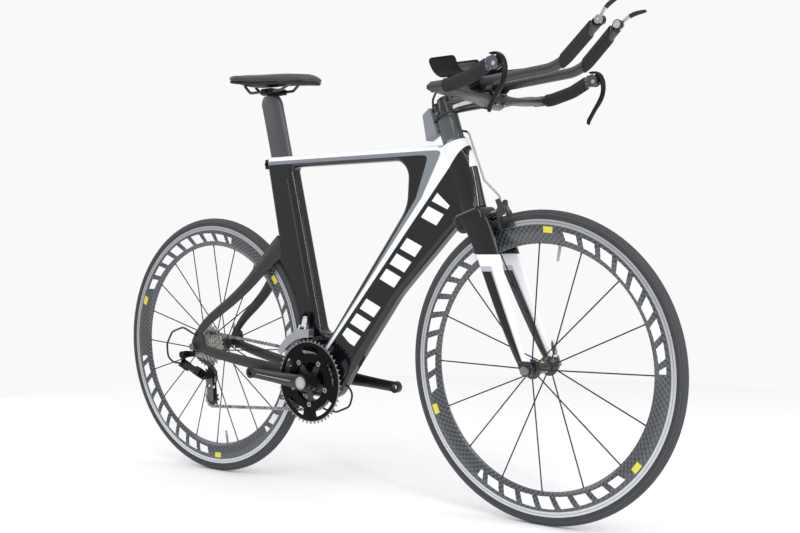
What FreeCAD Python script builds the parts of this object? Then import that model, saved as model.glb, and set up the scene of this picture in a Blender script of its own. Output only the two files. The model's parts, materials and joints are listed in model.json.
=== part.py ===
import FreeCAD
import Part
import math
import os

from FreeCAD import Placement, Rotation, Vector

# Time trial bike. Millimetres, +X forward, +Y to the rider's left, +Z up.
# The origin is on the ground, midway between the two wheel axles.

# Clearances
RUNNING = 0.05
GAP = 0.3
BODY_GAP = 1.0

# Wheels
WHEEL_SPREAD = 343.2
RIM_R = 314.0
TYRE_HEIGHT = 20.0
TYRE_SECTION_R = 12.0
TRACK_HEIGHT = 11.0
FAIRING_DEPTH = 41.0
RIM_WIDTH = 20.6
FAIRING_WALL = 2.0
SPOKE_WIDTH = 2.8
SPOKE_THICK = 1.1
FRONT_SPOKES = 16
REAR_SPOKES = 20
AXLE_R = 6.0
AXLE_END_R = 4.5
LOCKNUT_R = 9.0
LOCKNUT_LENGTH = 2.5
FRONT_OLD = 100.0
REAR_OLD = 130.0
DROPOUT_THICK = 6.0
FRONT_FLANGE_Y = 34.0
REAR_FLANGE_LEFT_Y = 36.0
REAR_FLANGE_RIGHT_Y = -17.0
FLANGE_R = 21.0
HUB_BARREL_R = 13.0

# Quick releases
QR_PIVOT_OUT = 13.0
QR_NUT_LENGTH = 12.0
QR_CUP_R = 9.0
QR_CUP_LENGTH = 5.0
QR_EYE_R = 3.0
QR_PIN_HALF = 7.0
QR_PIN_R = 2.0
QR_EAR_R = 5.0
QR_BLADE_THICK = 5.0
FRONT_LEVER_DIR = Vector(-0.3, 0, 1)
REAR_LEVER_DIR = Vector(-0.5, 0, 1)
QR_BLADE_STATIONS = [(12, 6.6, 0), (28, 6.8, 1.5), (46, 6, 3.5), (54, 3, 5)]

# Steering axis and head tube
HEAD_ANGLE = 72.0
FORK_RAKE = 50.0
STEERER_R = 14.3
HEAD_BORE_R = 18.0
BEARING_R = 21.0
BEARING_HEIGHT = 8.0
CROWN_ROOM = 38.0
HEAD_LENGTH = 157.0
TOP_COVER_HEIGHT = 7.0
SPACER_HEIGHT = 29.0
SPACER_NOSE = 19.0
SPACER_TAIL = 36.0
STEM_HEIGHT = 38.0
STEM_CLAMP_R = 20.0
HEAD_NOSE = 25.0
HEAD_HALF_WIDTH = 23.0

# Fork
CROWN_HEIGHT = 45.0
CROWN_REAR = 44.0
CROWN_FRONT = 30.0
CROWN_HALF_WIDTH = 34.0
CROWN_EDGE_R = 8.0
FORK_TYRE_GAP = 8.0
LEG_TOP_GAP = 13.0

# Main frame
FRAME_HALF_WIDTH = 19.0
FRAME_EDGE_R = 12.0
TOP_TUBE_DROP = 4.658
TOP_TUBE_DEPTH = 29.0
SEAT_TUBE_ANGLE = 77.0
SEAT_TUBE_BACK = 70.4
TYRE_CLEARANCE = 12.0
BB_AHEAD = 50.6
BB_DROP = 68.0
BB_SHELL_R = 24.0
BB_SHELL_WIDTH = 68.0
BB_BORE_R = 20.5
BB_CUP_LENGTH = 12.0
SEAT_CLAMP_BACK = 49.0
SEAT_CLAMP_DROP = 17.0
SEAT_CLAMP_R = 3.5
SEAT_CLAMP_HALF = 9.0

# Seatpost and saddle
POST_CHORD = 70.0
POST_WIDTH = 24.0
POST_INSERTION = 110.0
POST_DROP = 50.0
POST_RISE = 154.0
SADDLE_LENGTH = 270.0
SADDLE_WIDTH = 138.0
SADDLE_NOSE_WIDTH = 38.0
SADDLE_PAD_THICK = 16.0
RAIL_R = 3.5
RAIL_HALF_SPACING = 22.0
RAIL_RISE = 10.0
CLAMP_BACK = 30.0
CLAMP_LENGTH = 36.0
CLAMP_HALF_WIDTH = 30.0
CLAMP_HALF_HEIGHT = 7.0

# Drive train
CHAIN_PITCH = 12.7
CHAIN_Y = -41.2
CHAIN_ROLLER_R = 3.8
CHAIN_PLATE_HEIGHT = 8.4
OUTER_RING_TEETH = 50
INNER_RING_TEETH = 34
OUTER_RING_Y = -47.5
RING_THICK = 2.0
COGS = [12, 13, 14, 15, 17, 19, 21, 23, 25, 28]
CHAIN_COG = 19
COG_PITCH = 3.95
COG_THICK = 1.7
PULLEY_TEETH = 11
PULLEY_THICK = 2.4
GUIDE_AHEAD = 24.6
GUIDE_DROP = 77.0
TENSION_DISTANCE = 58.0
HANGER_BACK = 34.4
HANGER_DROP = 22.0
HANGER_THICK = 4.0
RD_PIVOT_BACK = 5.0
RD_PIVOT_Y = -68.0
RD_PIVOT_DROP = 30.0
RD_LINK = Vector(46, 0, -14)
RD_LINK_SPREAD = 8.0
RD_LINK_HALF = 8.0
RD_EAR_THICK = 3.0
RD_PIN_R = 2.5
PULLEY_PIN_R = 4.0
CAGE_HALF = 5.5
CAGE_PLATE = 1.5
FD_BACK = 25.0
FD_PIVOT_Y = -29.0
FD_PIVOT_RISE = 153.0
FD_LINK_DROP = 21.0
FD_LINK_OUT = 7.0
FD_LINK_HALF = 7.7
FD_PIN_R = 2.5
FD_CAGE_LOW_R = 107.0
FD_CAGE_HIGH_R = 127.0
CABLE_R = 2.5
CRANK_LENGTH = 172.5
CRANK_ANGLE = 175.3
CRANK_AXLE_R = 12.0
CRANK_ARM_THICK = 13.0
CRANK_ARM_Y = 73.0
PEDAL_HOLE_R = 7.15
CRANK_BOSS_Y = 56.0
CHAIN_ROLLER_HALF = 1.6
CHAIN_PLATE_THICK = 0.6
FREEHUB_R = 17.0
HUB_RIGHT_Y = -22.8
RING_BORE_R = 48.0
RING_BOLT_R = 4.0
BOLT_CIRCLE_R = 55.0
SPIDER_ARMS = 5
SPIDER_ANGLE = math.radians(54)
WINDOW_LOW_R = 68.0
WINDOW_HIGH_R = 86.0

# Bars
BAR_REACH = 95.423
BAR_RISE = 84.342
BASE_BAR_CHORD = 48.0
BASE_BAR_THICK = 20.0
BAR_CLAMP_R = 15.9
HORN_Y = 195.0
HORN_R = 11.5
TAPE_THICK = 2.6
EXTENSION_Y = 45.0
EXTENSION_R = 11.1
ARMREST_Y = 92.0
LEVER_REACH = 19.0
PIVOT_PIN_R = 3.0
LEVER_TONGUE_HALF = 4.0
LEVER_CHEEK_THICK = 5.0
SHIFTER_REACH = 14.0
SHIFTER_DISC = 10.0
SHIFTER_HUB_THICK = 6.0
SHIFT_LEVER_ANGLE = 28.0
SHIFT_LEVER_UP_ANGLE = 48.0
STEM_BAR_HALF = 22.0
TAIL_COVER_WIDTH = 26.0
HORN_BEND = 70.0
HORN_REACH = 122.0
HORN_RISE = 45.0
TAPE_START = 18.0
EXTENSION_BACK = 90.0
EXTENSION_RISE = 28.0
EXTENSION_REACH = 274.0
EXTENSION_TIP_RISE = 96.0
EXTENSION_KNEE = 82.0
EXTENSION_BEND = 90.0
GRIP_LENGTH = 64.0
GRIP_BACK = 8.0
ARMREST_BACK = 34.0
ARMREST_RISE = 95.0
ARMREST_CUP_R = 48.0
ARMREST_LENGTH = 68.0
ARMREST_PAD_THICK = 8.0

# Brakes
BRAKE_RISE = 13.0
BRAKE_BOLT_R = 4.0
BRAKE_BOLT_BACK = 56.0
BRAKE_ARM_THICK = 7.0
BRAKE_PAD_GAP = 1.6
BRAKE_PAD_LENGTH = 44.0
FRONT_BRAKE_ANGLE = 105.0
REAR_BRAKE_DROP = 124.3537

# Values worked out from the driving dimensions
TYRE_R = RIM_R + TYRE_HEIGHT
TRACK_INNER_R = RIM_R - TRACK_HEIGHT
FAIRING_INNER_R = TRACK_INNER_R - FAIRING_DEPTH
BRAKE_PIVOT_R = TYRE_R + BRAKE_RISE
WHEELBASE = 2 * TYRE_R + WHEEL_SPREAD
AXLE_Z = TYRE_R
FRONT_X = WHEELBASE / 2
REAR_X = -WHEELBASE / 2
FRONT_TYRE_BACK_X = FRONT_X - TYRE_R
REAR_TYRE_FRONT_X = REAR_X + TYRE_R
HEAD_BOTTOM_S = TYRE_R + CROWN_ROOM
HEAD_TOP_S = HEAD_BOTTOM_S + HEAD_LENGTH
AXIS_TILT = math.radians(90 - HEAD_ANGLE)
AXIS_DIR = Vector(-math.sin(AXIS_TILT), 0, math.cos(AXIS_TILT))
AXIS_FORWARD = Vector(math.cos(AXIS_TILT), 0, math.sin(AXIS_TILT))
FRONT_AXLE = Vector(FRONT_X, 0, AXLE_Z)
REAR_AXLE = Vector(REAR_X, 0, AXLE_Z)
BB_X = REAR_TYRE_FRONT_X + BB_AHEAD
BB_Z = AXLE_Z - BB_DROP
BB = Vector(BB_X, 0, BB_Z)
AXIS_BASE = FRONT_AXLE - AXIS_FORWARD * FORK_RAKE
HEAD_X = AXIS_BASE.x + AXIS_DIR.x * HEAD_TOP_S
HEAD_Z = AXIS_BASE.z + AXIS_DIR.z * HEAD_TOP_S
TOP_TUBE_TOP = HEAD_Z - TOP_TUBE_DROP
SEAT_TUBE_TOP_X = REAR_TYRE_FRONT_X - SEAT_TUBE_BACK
SEAT_CLAMP_X = SEAT_TUBE_TOP_X - SEAT_CLAMP_BACK
SEAT_CLAMP_Z = TOP_TUBE_TOP - SEAT_CLAMP_DROP
POST_HEAD_Z = TOP_TUBE_TOP + POST_RISE
RAIL_Z = POST_HEAD_Z + RAIL_RISE
CLAMP_X = SEAT_TUBE_TOP_X - CLAMP_BACK
SADDLE_NOSE_X = CLAMP_X + SADDLE_LENGTH * 0.592593
GUIDE_X = REAR_X + GUIDE_AHEAD
GUIDE_Z = AXLE_Z - GUIDE_DROP
HANGER_X = REAR_X - HANGER_BACK
HANGER_Z = AXLE_Z - HANGER_DROP
RD_PIVOT = Vector(HANGER_X - RD_PIVOT_BACK, RD_PIVOT_Y, HANGER_Z - RD_PIVOT_DROP)
FD_X = BB_X - FD_BACK
FD_PIVOT_Z = BB_Z + FD_PIVOT_RISE
BASE_BAR_X = HEAD_X + BAR_REACH
BASE_BAR_Z = HEAD_Z + BAR_RISE
HORN_END_X = BASE_BAR_X + HORN_REACH
HORN_END_Z = BASE_BAR_Z + HORN_RISE
LEVER_PIVOT_X = HORN_END_X + LEVER_REACH
LEVER_PIVOT_Z = HORN_END_Z
TAPE_START_X = BASE_BAR_X + TAPE_START
EXTENSION_REAR_X = BASE_BAR_X - EXTENSION_BACK
EXTENSION_Z = BASE_BAR_Z + EXTENSION_RISE
EXTENSION_TIP_X = BASE_BAR_X + EXTENSION_REACH
EXTENSION_TIP_Z = EXTENSION_Z + EXTENSION_TIP_RISE
GRIP_END_X = EXTENSION_TIP_X - GRIP_BACK
GRIP_START_X = GRIP_END_X - GRIP_LENGTH
ARMREST_X = BASE_BAR_X - ARMREST_BACK
ARMREST_Z = BASE_BAR_Z + ARMREST_RISE
CROWN_SWEEP_R = math.hypot(CROWN_REAR, CROWN_HALF_WIDTH)
CROWN_TOP_S = HEAD_BOTTOM_S - BODY_GAP
COVER_S = HEAD_TOP_S + GAP
SPACER_S = COVER_S + TOP_COVER_HEIGHT
STEM_S = SPACER_S + 2 * SPACER_HEIGHT
FRONT_BRAKE = (FRONT_AXLE, FRONT_BRAKE_ANGLE)
REAR_BRAKE = (REAR_AXLE, -math.degrees(math.asin(REAR_BRAKE_DROP / BRAKE_PIVOT_R)))


# Helpers

def axis_point(along, forward=0.0, side=0.0):
    """Point in the steering frame: along the axis, ahead of it and to its left."""
    return AXIS_BASE + AXIS_DIR * along + AXIS_FORWARD * forward + Vector(0, side, 0)


def sprocket_r(teeth):
    return CHAIN_PITCH / (2 * math.sin(math.pi / teeth))


def rod(start, end, radius):
    direction = end - start
    return Part.makeCylinder(radius, direction.Length, start, direction)


def tube(start, end, outer, inner):
    return rod(start, end, outer).cut(rod(start, end, inner))


def box(low, high):
    size = high - low
    return Part.makeBox(size.x, size.y, size.z, low)


def polygon_face(points):
    return Part.Face(Part.makePolygon(points + [points[0]]))


def plate(points, thick, direction):
    """A flat polygon pushed through a thickness along a direction, centred on its plane."""
    step = Vector(direction).normalize() * thick
    solid = polygon_face([p - step * 0.5 for p in points]).extrude(step)
    if solid.Volume < 0:
        solid.reverse()
    return solid


def spline_edge(points):
    curve = Part.BSplineCurve()
    curve.interpolate(points)
    return curve.toShape()


def ellipse_wire(centre, long_dir, short_dir, long_r, short_r, tail_r=None):
    """A closed section of two half ellipses: a nose of long_r ahead and a tail behind."""
    u = Vector(long_dir).normalize()
    v = Vector(short_dir).normalize()
    tail = long_r if tail_r is None else tail_r

    def half(reach):
        angles = [math.radians(a) for a in (-90, -54, -18, 18, 54, 90)]
        return [centre + u * (reach * math.cos(a)) + v * (short_r * math.sin(a)) for a in angles]

    def edge(points, start_tangent, end_tangent):
        curve = Part.BSplineCurve()
        curve.interpolate(points, InitialTangent=start_tangent, FinalTangent=end_tangent)
        return curve.toShape()

    front = edge(half(long_r), u * long_r, u * -long_r)
    back_points = [centre + u * -((p - centre).dot(u)) * (tail / long_r) + v * ((p - centre).dot(v))
                   for p in reversed(half(long_r))]
    back = edge(back_points, u * -tail, u * tail)
    return Part.Wire([front, back])


def loft(wires, ruled=False):
    return Part.makeLoft(wires, True, ruled)


def revolve_y(profile, centre):
    """Turn a profile of (radius, y) points about the axle line through a centre."""
    points = [centre + Vector(r, y, 0) for r, y in profile]
    face = polygon_face(points)
    return face.revolve(centre, Vector(0, 1, 0), 360)


def route(points, radius, bend):
    """A round cable or tube of straight runs joined by tangent arcs of one bend radius."""
    edges = []
    start = points[0]
    for before, corner, after in zip(points, points[1:], points[2:]):
        into = (corner - before).normalize()
        out = (after - corner).normalize()
        turn = into.getAngle(out)
        reach = min(bend * math.tan(turn / 2), 0.45 * (corner - before).Length,
                    0.45 * (after - corner).Length)
        enter = corner - into * reach
        leave = corner + out * reach
        middle_dir = (out - into).normalize()
        arc_r = reach / math.tan(turn / 2)
        middle = corner + middle_dir * (arc_r / math.cos(turn / 2) - arc_r)
        edges.append(Part.LineSegment(start, enter).toShape())
        edges.append(Part.Arc(enter, middle, leave).toShape())
        start = leave
    edges.append(Part.LineSegment(start, points[-1]).toShape())
    path = Part.Wire(edges)
    first = (points[1] - points[0]).normalize()
    circle = Part.Wire(Part.makeCircle(radius, points[0], first))
    return path.makePipeShell([circle], True, False)


def mirror_y(shape):
    return shape.mirror(Vector(0, 0, 0), Vector(0, 1, 0))


def joined(shapes):
    result = shapes[0]
    if len(shapes) > 1:
        result = result.fuse(shapes[1:])
    return result.removeSplitter()


def save(node, shapes):
    """Write one node as a group of separate solids."""
    group = shapes if isinstance(shapes, list) else [shapes]
    solids = [solid for shape in group for solid in shape.Solids]
    Part.makeCompound(solids).exportStep("parts/" + node + ".step")
    volume = sum(solid.Volume for solid in solids)
    valid = all(solid.isValid() for solid in solids)
    print(node, len(solids), "solids", round(volume / 1000, 1), "cm3", "" if valid else "INVALID")


# Wheels

def ring(inner, outer, half_width, centre):
    return revolve_y([(inner, -half_width), (outer, -half_width), (outer, half_width),
                      (inner, half_width)], centre)


def tyre(centre):
    seat_half = math.sqrt(TYRE_SECTION_R ** 2 - (TYRE_R - TYRE_SECTION_R - RIM_R) ** 2)
    left = centre + Vector(RIM_R, seat_half, 0)
    right = centre + Vector(RIM_R, -seat_half, 0)
    crown = Part.Arc(left, centre + Vector(TYRE_R, 0, 0), right).toShape()
    face = Part.Face(Part.Wire([crown, Part.LineSegment(right, left).toShape()]))
    return face.revolve(centre, Vector(0, 1, 0), 360)


def fairing(centre):
    half = RIM_WIDTH / 2
    depth = TRACK_INNER_R - FAIRING_INNER_R

    def side(inset, sign):
        stations = [(0.0, 1.0), (0.25, 1.04), (0.55, 0.86), (0.85, 0.5)]
        return [centre + Vector(TRACK_INNER_R - depth * t, sign * (half * w - inset), 0) for t,
                w in stations]

    def outline(inset):
        nose = centre + Vector(FAIRING_INNER_R + inset, 0, 0)
        return side(inset, 1) + [nose] + list(reversed(side(inset, -1)))

    outer = outline(0.0)
    inner = outline(FAIRING_WALL)
    edges = [spline_edge(outer), Part.LineSegment(outer[-1], inner[-1]).toShape(),
             spline_edge(list(reversed(inner))), Part.LineSegment(inner[0], outer[0]).toShape()]
    return Part.Face(Part.Wire(edges)).revolve(centre, Vector(0, 1, 0), 360)


def spoke(centre, hub_angle, rim_angle, flange_y):
    start_r = FLANGE_R - 4.0
    end_r = FAIRING_INNER_R + 1.5
    start = centre + Vector(start_r * math.cos(hub_angle), flange_y, start_r * math.sin(hub_angle))
    end = centre + Vector(end_r * math.cos(rim_angle), 0, end_r * math.sin(rim_angle))
    along = (end - start).normalize()
    across = along.cross(Vector(0, 1, 0)).normalize()
    out = along.cross(across)
    corners = [across * (SPOKE_WIDTH / 2) * a + out * (SPOKE_THICK / 2) * b
               for a, b in ((-1, -1), (1, -1), (1, 1), (-1, 1))]
    return polygon_face([start + c for c in corners]).extrude(end - start)


def front_spokes():
    step = 2 * math.pi / FRONT_SPOKES
    return [spoke(FRONT_AXLE, i * step, i * step, FRONT_FLANGE_Y * (1 if i % 2 else -1))
            for i in range(FRONT_SPOKES)]


def rear_spokes():
    step = 2 * math.pi / REAR_SPOKES
    crossing = math.radians(62)
    spokes = []
    for i in range(REAR_SPOKES):
        rim_angle = i * step
        if i % 2:
            spokes.append(spoke(REAR_AXLE, rim_angle, rim_angle, REAR_FLANGE_LEFT_Y))
        else:
            lean = crossing if i % 4 else -crossing
            spokes.append(spoke(REAR_AXLE, rim_angle + lean, rim_angle, REAR_FLANGE_RIGHT_Y))
    return spokes


def hub(centre, left_y, right_y, left_flange, right_flange):
    bore = AXLE_R + RUNNING
    half = 1.6
    cap = LOCKNUT_R + 1.0
    profile = [(bore, right_y), (cap, right_y), (cap, right_flange - half - 3),
               (FLANGE_R, right_flange - half),
               (FLANGE_R, right_flange + half), (HUB_BARREL_R, right_flange + 7),
               (HUB_BARREL_R, left_flange - 7), (FLANGE_R, left_flange - half),
               (FLANGE_R, left_flange + half),
               (cap, left_flange + half + 3), (cap, left_y), (bore, left_y)]
    return revolve_y(profile, centre)


def axle(centre, old_width, lever_dir):
    """Axle, locknuts and skewer, with a nut on the right and an eye for the lever on the left."""
    half = old_width / 2
    outer = half + DROPOUT_THICK

    def at(y):
        return centre + Vector(0, y, 0)

    eye = at(outer + QR_PIVOT_OUT)
    pin_dir = Vector(lever_dir).cross(Vector(0, 1, 0)).normalize()
    shapes = [rod(at(-outer), at(outer), AXLE_END_R),
              rod(at(LOCKNUT_LENGTH - half), at(half - LOCKNUT_LENGTH), AXLE_R),
              rod(at(-half), at(LOCKNUT_LENGTH - half), LOCKNUT_R),
              rod(at(half - LOCKNUT_LENGTH), at(half), LOCKNUT_R),
              rod(at(-outer - QR_NUT_LENGTH), at(-outer), QR_CUP_R),
              rod(at(outer), at(outer + QR_CUP_LENGTH), QR_CUP_R),
              rod(at(outer), eye, QR_EYE_R - 0.5),
              rod(eye - pin_dir * QR_EYE_R, eye + pin_dir * QR_EYE_R, QR_EYE_R),
              rod(eye - pin_dir * QR_PIN_HALF, eye + pin_dir * QR_PIN_HALF, QR_PIN_R)]
    return joined(shapes)


def qr_lever(centre, old_width, lever_dir):
    """Cam lever with two ears on the skewer's cross pin and a slightly curved blade."""
    eye = centre + Vector(0, old_width / 2 + DROPOUT_THICK + QR_PIVOT_OUT, 0)
    along = Vector(lever_dir).normalize()
    pin_dir = along.cross(Vector(0, 1, 0)).normalize()
    reach = pin_dir * QR_PIN_HALF
    side = Vector(0, QR_BLADE_THICK / 2, 0)
    arm_end = along * (QR_EAR_R + 14)
    slot_end = along * (QR_EAR_R + 3)
    cheeks = plate([eye - side, eye + arm_end - side, eye + arm_end + side, eye + side], 2 * QR_PIN_HALF,
                   pin_dir)
    far = Vector(0, 4 * QR_EAR_R, 0)
    back = along * (4 * QR_EAR_R)
    slot = plate([eye - back - far, eye + slot_end - far, eye + slot_end + far, eye - back + far],
                 2 * (QR_EYE_R + GAP), pin_dir)
    sections = []
    for step, half_width, lift in QR_BLADE_STATIONS:
        middle = eye + along * step + Vector(0, lift, 0)
        sections.append(ellipse_wire(middle, pin_dir, Vector(0, 1, 0), half_width, QR_BLADE_THICK / 2))
    bore = rod(eye - reach * 2, eye + reach * 2, QR_PIN_R + RUNNING)
    root = joined([rod(eye - reach, eye + reach, QR_EAR_R), cheeks]).cut(slot).cut(bore)
    return joined([root, loft(sections)])


# Main frame

def brake_point(brake, radius, along, side):
    """Point in a caliper's frame: out from the axle, along the rim and to the left."""
    centre, angle = brake
    a = math.radians(angle)
    out = Vector(math.cos(a), 0, math.sin(a))
    rim_dir = Vector(math.sin(a), 0, -math.cos(a))
    return centre + out * radius + rim_dir * along + Vector(0, side, 0)


def rounded_wire(corners, y):
    """A closed outline in the side plane whose corners (x, z, radius) are tangent arcs."""
    points = [Vector(x, y, z) for x, z, r in corners]
    count = len(corners)
    enters, middles, leaves = [], [], []
    for i, (x, z, r) in enumerate(corners):
        into = (points[i] - points[i - 1]).normalize()
        out = (points[(i + 1) % count] - points[i]).normalize()
        turn = into.getAngle(out)
        reach = r * math.tan(turn / 2)
        enters.append(points[i] - into * reach)
        leaves.append(points[i] + out * reach)
        middles.append(points[i] + (out - into).normalize() * (r / math.cos(turn / 2) - r))
    edges = []
    for i in range(count):
        edges.append(Part.Arc(enters[i], middles[i], leaves[i]).toShape())
        edges.append(Part.LineSegment(leaves[i], enters[(i + 1) % count]).toShape())
    return Part.Wire(edges)


def slab(outline, half_width, edge_r, hole=None):
    """An outline pushed through the frame's width, with its long edges rounded."""
    wires = [rounded_wire(outline, -half_width)]
    if hole:
        wires.append(rounded_wire(hole, -half_width))
    face = Part.Face(wires, "Part::FaceMakerBullseye")
    solid = face.extrude(Vector(0, 2 * half_width, 0))
    edges = [e for e in solid.Edges
             if abs(e.BoundBox.YLength) < 1e-6 and abs(abs(e.BoundBox.YMax) - half_width) < 1e-6]
    return solid.makeFillet(edge_r, edges)


def frame_outline():
    bottom = TOP_TUBE_TOP - TOP_TUBE_DEPTH
    outer = [(SEAT_TUBE_TOP_X - 46, TOP_TUBE_TOP, 14), (HEAD_X + 11.423, TOP_TUBE_TOP, 13),
             (HEAD_X + 43.423, HEAD_Z - 145.658, 14), (HEAD_X - 9.577, HEAD_Z - 196.658, 60),
             (FRONT_TYRE_BACK_X - 41.6, AXLE_Z + 142, 250), (BB_X + 99, BB_Z + 16, 90),
             (BB_X + 58, BB_Z - 42, 40), (BB_X - 60, BB_Z - 40, 34),
             (REAR_TYRE_FRONT_X - 90.4, AXLE_Z + 211, 40), (REAR_TYRE_FRONT_X - 77.4, AXLE_Z + 278, 20)]
    hole = [(SEAT_TUBE_TOP_X + 43, bottom, 10), (HEAD_X - 126.577, bottom, 40),
            (HEAD_X - 134.577, HEAD_Z - 139.658, 90), (BB_X + 21, BB_Z + 85, 24)]
    return outer, hole


def head_tube():
    stations = [(HEAD_BOTTOM_S, 1.0, 1.04, 40), (HEAD_BOTTOM_S + 40, 1.12, 0.92, 52),
                (HEAD_BOTTOM_S + 85, 1.24, 0.9, 56), (HEAD_TOP_S - 25, 1.16, 0.98, 48),
                (HEAD_TOP_S, 1.0, 1.04, 42)]
    wires = [ellipse_wire(axis_point(s), AXIS_FORWARD, Vector(0, 1, 0), HEAD_NOSE * nose,
                          HEAD_HALF_WIDTH * width, tail)
             for s, nose, width, tail in stations]
    return loft(wires)


def seat_dir():
    angle = math.radians(SEAT_TUBE_ANGLE)
    return Vector(-math.cos(angle), 0, math.sin(angle))


def post_section(height, grow, chord=POST_CHORD, width=POST_WIDTH):
    """Aero section of the seatpost, square to the ground, at a height along the seat tube line."""
    slope = seat_dir()
    x = SEAT_TUBE_TOP_X + slope.x / slope.z * (height - TOP_TUBE_TOP)
    return ellipse_wire(Vector(x, 0, height), Vector(1, 0, 0), Vector(0, 1, 0), chord * 0.42 + grow,
                        width / 2 + grow, chord * 0.58 + grow)


def main_frame():
    outer, hole = frame_outline()
    shell = slab(outer, FRAME_HALF_WIDTH, FRAME_EDGE_R, hole)
    shell = shell.cut(rod(axis_point(HEAD_TOP_S), axis_point(HEAD_TOP_S + 60), SPACER_TAIL + 8))
    shell = shell.cut(rod(axis_point(HEAD_BOTTOM_S), axis_point(HEAD_BOTTOM_S - 90),
                          CROWN_SWEEP_R + BODY_GAP))
    bottom_bracket = rod(BB + Vector(0, -BB_SHELL_WIDTH / 2, 0), BB + Vector(0, BB_SHELL_WIDTH / 2, 0),
                         BB_SHELL_R)
    whole = joined([shell, head_tube(), bottom_bracket])
    tyre_zone = rod(REAR_AXLE + Vector(0, -60, 0), REAR_AXLE + Vector(0, 60, 0), TYRE_R + TYRE_CLEARANCE)
    cuts = [tyre_zone, rod(axis_point(HEAD_BOTTOM_S - 1), axis_point(HEAD_TOP_S + 1), HEAD_BORE_R),
            rod(axis_point(HEAD_BOTTOM_S - 1), axis_point(HEAD_BOTTOM_S + BEARING_HEIGHT), BEARING_R),
            rod(axis_point(HEAD_TOP_S - BEARING_HEIGHT), axis_point(HEAD_TOP_S + 1), BEARING_R),
            rod(BB + Vector(0, -60, 0), BB + Vector(0, 60, 0), BB_BORE_R),
            seat_socket(),
            rod(brake_point(REAR_BRAKE, BRAKE_PIVOT_R, -BRAKE_BOLT_BACK, 0),
                brake_point(REAR_BRAKE, BRAKE_PIVOT_R, 0, 0),
                BRAKE_BOLT_R)]
    for cut in cuts:
        whole = whole.cut(cut)
    return whole


def seat_clamp(frame):
    """Clamp lump behind the top of the seat tube, with its bolt across it."""
    lump = box(Vector(SEAT_CLAMP_X - 9, -SEAT_CLAMP_HALF, SEAT_CLAMP_Z - 12),
               Vector(SEAT_CLAMP_X + 12, SEAT_CLAMP_HALF, SEAT_CLAMP_Z + 12))
    bolt = rod(Vector(SEAT_CLAMP_X - 3, -SEAT_CLAMP_HALF - 3, SEAT_CLAMP_Z),
               Vector(SEAT_CLAMP_X - 3, SEAT_CLAMP_HALF + 3, SEAT_CLAMP_Z), SEAT_CLAMP_R)
    rounded = lump.makeFillet(3, lump.Edges).cut(frame).cut(seat_socket())
    outside = min(rounded.Solids, key=lambda solid: solid.CenterOfMass.x)
    return joined([outside, bolt])


def seat_socket():
    """Room for the seatpost in the seat tube."""
    return loft([post_section(TOP_TUBE_TOP - POST_INSERTION - POST_DROP - 2, RUNNING),
                 post_section(TOP_TUBE_TOP + 2, RUNNING)], True)


def frame_bearings():
    rings = []
    for low, high in ((HEAD_BOTTOM_S, HEAD_BOTTOM_S + BEARING_HEIGHT),
                      (HEAD_TOP_S - BEARING_HEIGHT, HEAD_TOP_S)):
        rings.append(tube(axis_point(low), axis_point(high), BEARING_R - RUNNING, STEERER_R + RUNNING))
    half = BB_SHELL_WIDTH / 2
    for sign in (-1, 1):
        inner = BB + Vector(0, sign * (half - BB_CUP_LENGTH), 0)
        rings.append(tube(inner, BB + Vector(0, sign * half, 0), BB_BORE_R - RUNNING,
                          CRANK_AXLE_R + RUNNING))
    return rings


# Stays

def stay(stations):
    """A stay through stations (x, y, z, depth, width), with sections square to its run."""
    points = [Vector(x, y, z) for x, y, z, d, w in stations]
    wires = []
    for i, (x, y, z, depth, width) in enumerate(stations):
        run = points[min(i + 1, len(points) - 1)] - points[max(i - 1, 0)]
        flat = Vector(run.x, 0, run.z).normalize()
        across = Vector(-flat.z, 0, flat.x)
        wires.append(ellipse_wire(points[i], across, Vector(0, 1, 0), depth / 2, width / 2))
    return loft(wires)


def rear_stays(frame):
    end_y = REAR_OLD / 2 + DROPOUT_THICK / 2
    shapes = []
    for side in (-1, 1):
        seat_stay = stay([(REAR_TYRE_FRONT_X - 66.4, side * 8, AXLE_Z + 266, 60, 18),
                          (REAR_TYRE_FRONT_X - 114.4, side * 25, AXLE_Z + 218, 42, 15),
                          (REAR_X + 160.6, side * 43, AXLE_Z + 154, 31, 14),
                          (REAR_X + 93.6, side * 57, AXLE_Z + 102, 27, 13),
                          (REAR_X + 12, side * end_y, AXLE_Z + 34, 21, 9)])
        chain_stay = stay([(BB_X - 11, side * 22, BB_Z + 2, 34, 18),
                           (BB_X - 75, side * 30, BB_Z + 14, 33, 13),
                           (REAR_X + 205.6, side * 46, AXLE_Z - 37, 29, 13),
                           (REAR_X + 105.6, side * 59, AXLE_Z - 21, 27, 13),
                           (REAR_X + 26, side * end_y, AXLE_Z - 5, 23, 9)])
        shapes.append(joined([seat_stay, chain_stay, dropout(side, end_y)]))
    wheel_room = rod(REAR_AXLE + Vector(0, -18, 0), REAR_AXLE + Vector(0, 18, 0), TYRE_R + 6)
    cleared = [shape.cut(frame).cut(wheel_room) for shape in shapes]
    return [max(shape.Solids, key=lambda solid: solid.Volume) for shape in cleared]


def dropout(side, end_y):
    """Flat end plate that joins both stays round the axle slot."""
    corners = [(REAR_X - 12, AXLE_Z + 14, 6), (REAR_X + 6, AXLE_Z + 44, 5), (REAR_X + 30, AXLE_Z + 30, 5),
               (REAR_X + 40, AXLE_Z - 14, 5), (REAR_X - 8, AXLE_Z - 16, 6)]
    half = DROPOUT_THICK / 2
    wire = rounded_wire(corners, side * end_y - half)
    body = Part.Face(wire).extrude(Vector(0, DROPOUT_THICK, 0))
    slot_r = AXLE_END_R + 0.1
    slot = rod(REAR_AXLE + Vector(0, -100, 0), REAR_AXLE + Vector(0, 100, 0), slot_r)
    mouth = box(REAR_AXLE + Vector(-slot_r, -100, -60), REAR_AXLE + Vector(slot_r, 100, 0))
    return body.cut(slot).cut(mouth)



# Steering parts

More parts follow.
